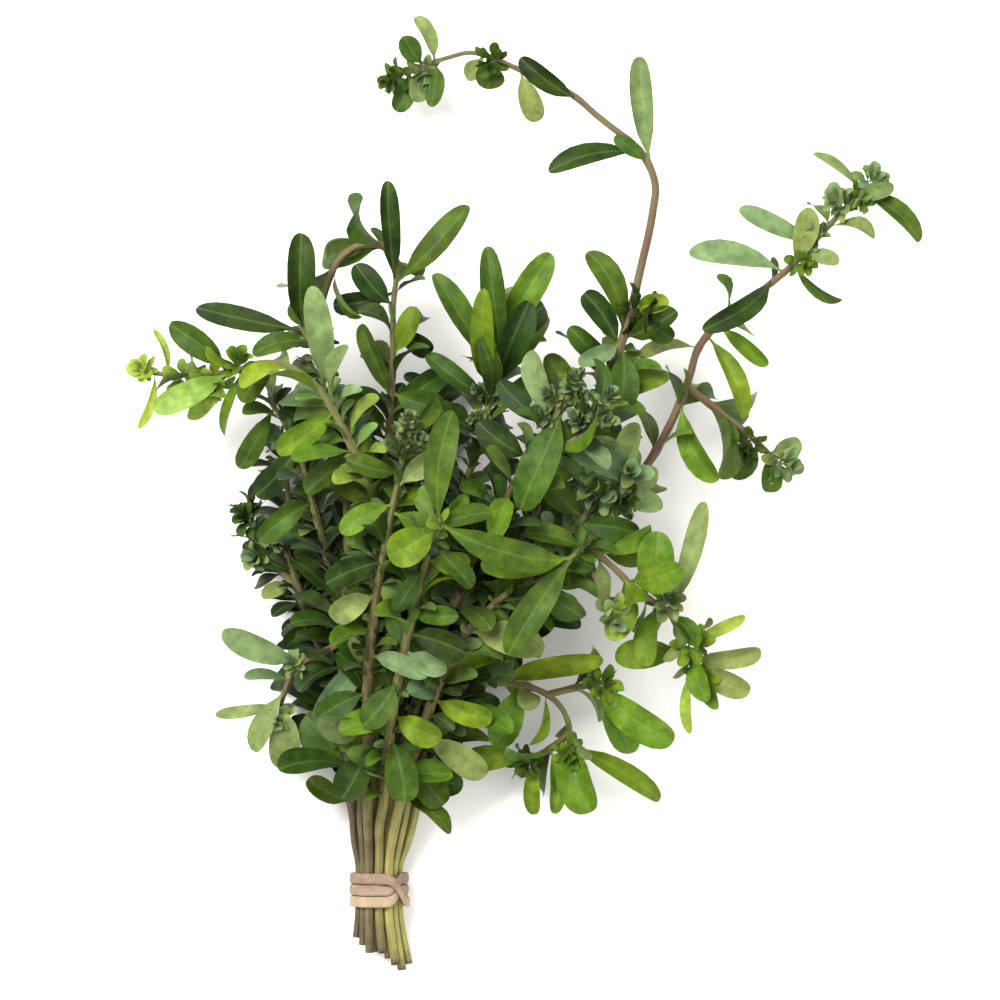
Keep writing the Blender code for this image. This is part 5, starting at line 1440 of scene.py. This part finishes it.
def leaf_skin():
    skin = Skin("leaf_skin", 0.52, 0.13)
    skin.shader.inputs["Sheen Weight"].default_value = 0.03
    skin.shader.inputs["Sheen Roughness"].default_value = 0.45
    tone = skin.node("Attribute", attribute_name="leaf_tone").outputs
    light, grey, _ = skin.split("SeparateColor", tone["Color"], "Color")
    blade = skin.node("UVMap", uv_map="blade").outputs["UV"]
    across, along, _ = skin.split("SeparateXYZ", blade, "Vector")
    side = skin.sum("ABSOLUTE", skin.sum("SUBTRACT", across, 0.5))
    rib = skin.span(side, *RIB_EDGE, 1.0, 0.0)
    slope = skin.sum("SUBTRACT", along, skin.sum("MULTIPLY", side, VEIN_SLANT))
    wave = skin.sum("SINE", skin.sum("MULTIPLY", slope, VEIN_PITCH))
    drawn = skin.sum("MAXIMUM", rib, skin.span(wave, *VEIN_EDGE, 0.0, VEIN_DEPTH))
    mottle = skin.noise(420.0, 4.0, 0.6)
    cloud = skin.sum("SUBTRACT", skin.noise(190.0), 0.5)
    shade = skin.sum("ADD", light, skin.sum("MULTIPLY", cloud, 0.6))
    green, sage = skin.ramp(shade, LEAF_GREEN), skin.ramp(shade, LEAF_SAGE)
    colour = skin.mix(grey, green, sage)
    colour = skin.mix(1.0, colour, skin.ramp(tone["Alpha"], LEAF_YELLOW), "MULTIPLY")
    colour = skin.mix(1.0, colour, skin.ramp(mottle, LEAF_SPOTS), "MULTIPLY")
    pale = skin.mix(0.4, colour, VEIN_PALE)
    colour = skin.mix(skin.sum("MULTIPLY", drawn, 0.3), colour, pale)
    height = skin.sum("SUBTRACT", skin.sum("MULTIPLY", mottle, 0.5), drawn)
    return skin.finish(colour, height, 0.3, 0.0002)


def flat_leaf(rows):
    """One leaf: a grid narrowed row by row. Its wall is pressed flat, so it is one sheet."""
    bpy.ops.object.select_all(action="DESELECT")
    bpy.ops.mesh.primitive_grid_add(x_subdivisions=BLADE_STRIPS, y_subdivisions=len(rows) - 1,
                                    size=2, location=(0, 0, 0))
    blank = bpy.context.object
    mesh = blank.data
    for number, (place, width) in enumerate(rows):
        level = -1.0 + 2.0 * number / (len(rows) - 1)
        picked(mesh, "VERT", lambda v: abs(v.co.y - level) < 1e-4 and abs(v.co.z) < 1e-4)
        bpy.ops.transform.resize(value=(width, 1.0, 1.0), center_override=(0, level, 0))
        bpy.ops.transform.translate(value=(0.0, place - level, ASIDE))
        bpy.ops.object.mode_set(mode="OBJECT")
    picked(mesh, "VERT", lambda v: True)
    bpy.ops.transform.translate(value=(0.0, 0.0, -ASIDE))
    bpy.ops.object.mode_set(mode="OBJECT")
    wall = blank.modifiers.new("thickness", "SOLIDIFY")
    wall.thickness = 1.0
    wall.offset = -1.0
    bpy.ops.object.modifier_apply(modifier=wall.name)
    picked(mesh, "VERT", lambda v: True)
    bpy.ops.transform.resize(value=(1.0, 1.0, 0.0), center_override=(0, 0, SHEET_HEIGHT))
    bpy.ops.mesh.remove_doubles(threshold=0.001)
    bpy.ops.object.mode_set(mode="OBJECT")
    return taken_shape(blank)


def bent_leaf(leaf, shape, draw):
    """The flat leaf's points, bent along one leaf of the bunch."""
    levels, row = np.unique(np.round(shape[:, 1], 4), return_inverse=True)
    frames = np.array([leaf_frame(leaf, level) for level in levels])
    centre, across, normal = [frames[row, k] for k in range(3)]
    half = leaf["width"] / 2
    x, along = shape[:, 0], shape[:, 1]
    spread = np.abs(x)
    length = np.linalg.norm(leaf["tip"] - leaf["foot"])
    stalk = np.exp(-(along / STALK_REACH) ** 2)
    thick = min(1.0, 0.5 + length / FULL_BLADE)
    thick = thick * (BLADE_THICK + (STALK_THICK - BLADE_THICK) * stalk)
    phase, beats = draw.uniform(0, 6.28), draw.uniform(*WAVE_BEATS)
    wave = EDGE_WAVE * half * spread * np.sin(along * beats + phase + np.sign(x))
    fold = LEAF_FOLD * draw.uniform(*FOLD_RANGE)
    rise = LEAF_CROWN * (1 - spread) + fold * half * spread ** 1.3 + wave
    rise += shape[:, 2] * thick
    twist = draw.uniform(-TWIST, TWIST) * along
    level = x * half * (1.0 - FOLD_NARROWS * fold * spread)
    sideways = level * np.cos(twist) - rise * np.sin(twist)
    upwards = level * np.sin(twist) + rise * np.cos(twist)
    upwards -= draw.uniform(0.0, TIP_CURL) * length * np.maximum(along - CURL_FROM, 0.0) ** 2
    points = centre + across * sideways[:, None] + normal * upwards[:, None]
    points[:, 2] = np.maximum(points[:, 2], LEAST_HEIGHT)
    return points


def leaf_tones(leaf, base, draw):
    """How light, how grey-green and how yellow a leaf is. Those low in the crowded middle of the bunch
    are darkened with painted shade.
    """
    yellow = draw.random()
    if leaf["tone"] in TONES:
        shade, sage = TONES[leaf["tone"]]
        return shade + draw.uniform(-TONE_SPREAD, TONE_SPREAD), sage, yellow
    x, y, z = (leaf["foot"] + leaf["tip"]) / 2
    crowd = math.exp(-((x - CROWD[0]) / CROWD[2]) ** 2 - ((y - CROWD[1]) / CROWD[3]) ** 2)
    shade = base + draw.uniform(*SHADE_SPREAD)
    # Painted shade: darker in the crowded middle, and more so the lower the leaf lies
    shade -= crowd * (CROWD_PAINTED_SHADE + DEPTH_PAINTED_SHADE * max(1.0 - z / TOP_HEIGHT, 0.0))
    return shade, draw.choice(SAGE_CHOICES), yellow


def leaves_piece(leaves, name, base, draw):
    """All leaves of one sprig, as one mesh with its blade map and its tones."""
    verts, faces, maps, tones = [], [], [], []
    for leaf in leaves:
        length = np.linalg.norm(leaf["tip"] - leaf["foot"])
        shape, shape_faces = small_leaf if length < SMALL_LEAF else large_leaf
        shade, sage, yellow = leaf_tones(leaf, base, draw)
        for face in shape_faces:
            faces.append(tuple(len(verts) + index for index in face))
            maps += [(0.5 + 0.5 * shape[index, 0], shape[index, 1]) for index in face]
            tones += [(shade, sage, 0.0, yellow)] * len(face)
        verts += list(bent_leaf(leaf, shape, draw) * TO_METRES)
    piece = mesh_piece(name, verts, faces)
    blade = piece.data.uv_layers.new(name="blade")
    blade.data.foreach_set("uv", np.array(maps, dtype=np.float32).ravel())
    tone = piece.data.color_attributes.new("leaf_tone", "FLOAT_COLOR", "CORNER")
    tone.data.foreach_set("color", np.array(tones, dtype=np.float32).ravel())
    select_only(piece)
    bpy.ops.object.shade_smooth_by_angle(angle=LEAF_MERGED)
    return piece


large_leaf = flat_leaf(LARGE_ROWS)
small_leaf = flat_leaf(SMALL_ROWS)
leaf_material = leaf_skin()
for number, sprig in enumerate(SPRIGS):
    own = own_lines(number)
    grown = [leaf for line in own for joint in line["joints"] for leaf in joint["leaves"].values()]
    grown += [leaf for line in own for leaf in line["young"]]
    name, base = sprig["name"].replace("sprig", "leaves"), LOOKS[sprig["name"]][0]
    piece = leaves_piece(grown, name, base, random.Random(LEAF_SEED + number))
    fitted(piece, leaf_material, sprig["name"])

# The table and the light
# A pale, matt table under a large soft light, seen from straight above as the
# photograph is. None of it belongs to the bunch.
MIDDLE = (0.0244, 0.0786, 0.02)
TABLE_SIZE = 6.0
TABLE_DROP = -0.0002
TABLE_WHITE = (0.93, 0.93, 0.93, 1.0)
LIGHT_COLOUR = (1.0, 0.98, 0.94)
ROOM_COLOUR = (1.0, 0.985, 0.95, 1.0)
ROOM_LIGHT = 0.85
CAMERA_HEIGHT = 1.6
SEEN_WIDTH = 0.2
SENSOR_WIDTH = 36.0
NEAREST_SEEN = 0.05

bpy.ops.object.select_all(action="DESELECT")
bpy.ops.mesh.primitive_plane_add(size=TABLE_SIZE, location=(MIDDLE[0], MIDDLE[1], TABLE_DROP))
table = bpy.context.object
table.name = "table"
white = Skin("table_white", 0.9, 0.1)
white.shader.inputs["Base Color"].default_value = TABLE_WHITE
table.data.materials.append(white.material)

for name, place, size, power in (("key", (-0.6, 0.8, 1.4), 0.9, 50.0),
                                 ("fill", (1.1, -0.6, 1.5), 1.6, 20.0)):
    light = bpy.data.lights.new(name, "AREA")
    light.size = size
    light.energy = power
    light.color = LIGHT_COLOUR
    lamp = bpy.data.objects.new(name, light)
    lamp.location = place
    aim = Vector(MIDDLE) - Vector(place)
    lamp.rotation_euler = aim.to_track_quat("-Z", "Y").to_euler()
    bpy.context.scene.collection.objects.link(lamp)
world = bpy.data.worlds.new("studio")
world.use_nodes = True
world.node_tree.nodes["Background"].inputs["Color"].default_value = ROOM_COLOUR
world.node_tree.nodes["Background"].inputs["Strength"].default_value = ROOM_LIGHT
bpy.context.scene.world = world
bpy.context.scene.view_settings.view_transform = "Standard"

lens = bpy.data.cameras.new("camera")
lens.sensor_width = SENSOR_WIDTH
lens.lens = SENSOR_WIDTH * (CAMERA_HEIGHT - MIDDLE[2]) / SEEN_WIDTH
lens.clip_start = NEAREST_SEEN
camera = bpy.data.objects.new("camera", lens)
camera.location = (MIDDLE[0], MIDDLE[1], CAMERA_HEIGHT)
bpy.context.scene.collection.objects.link(camera)
bpy.context.scene.camera = camera
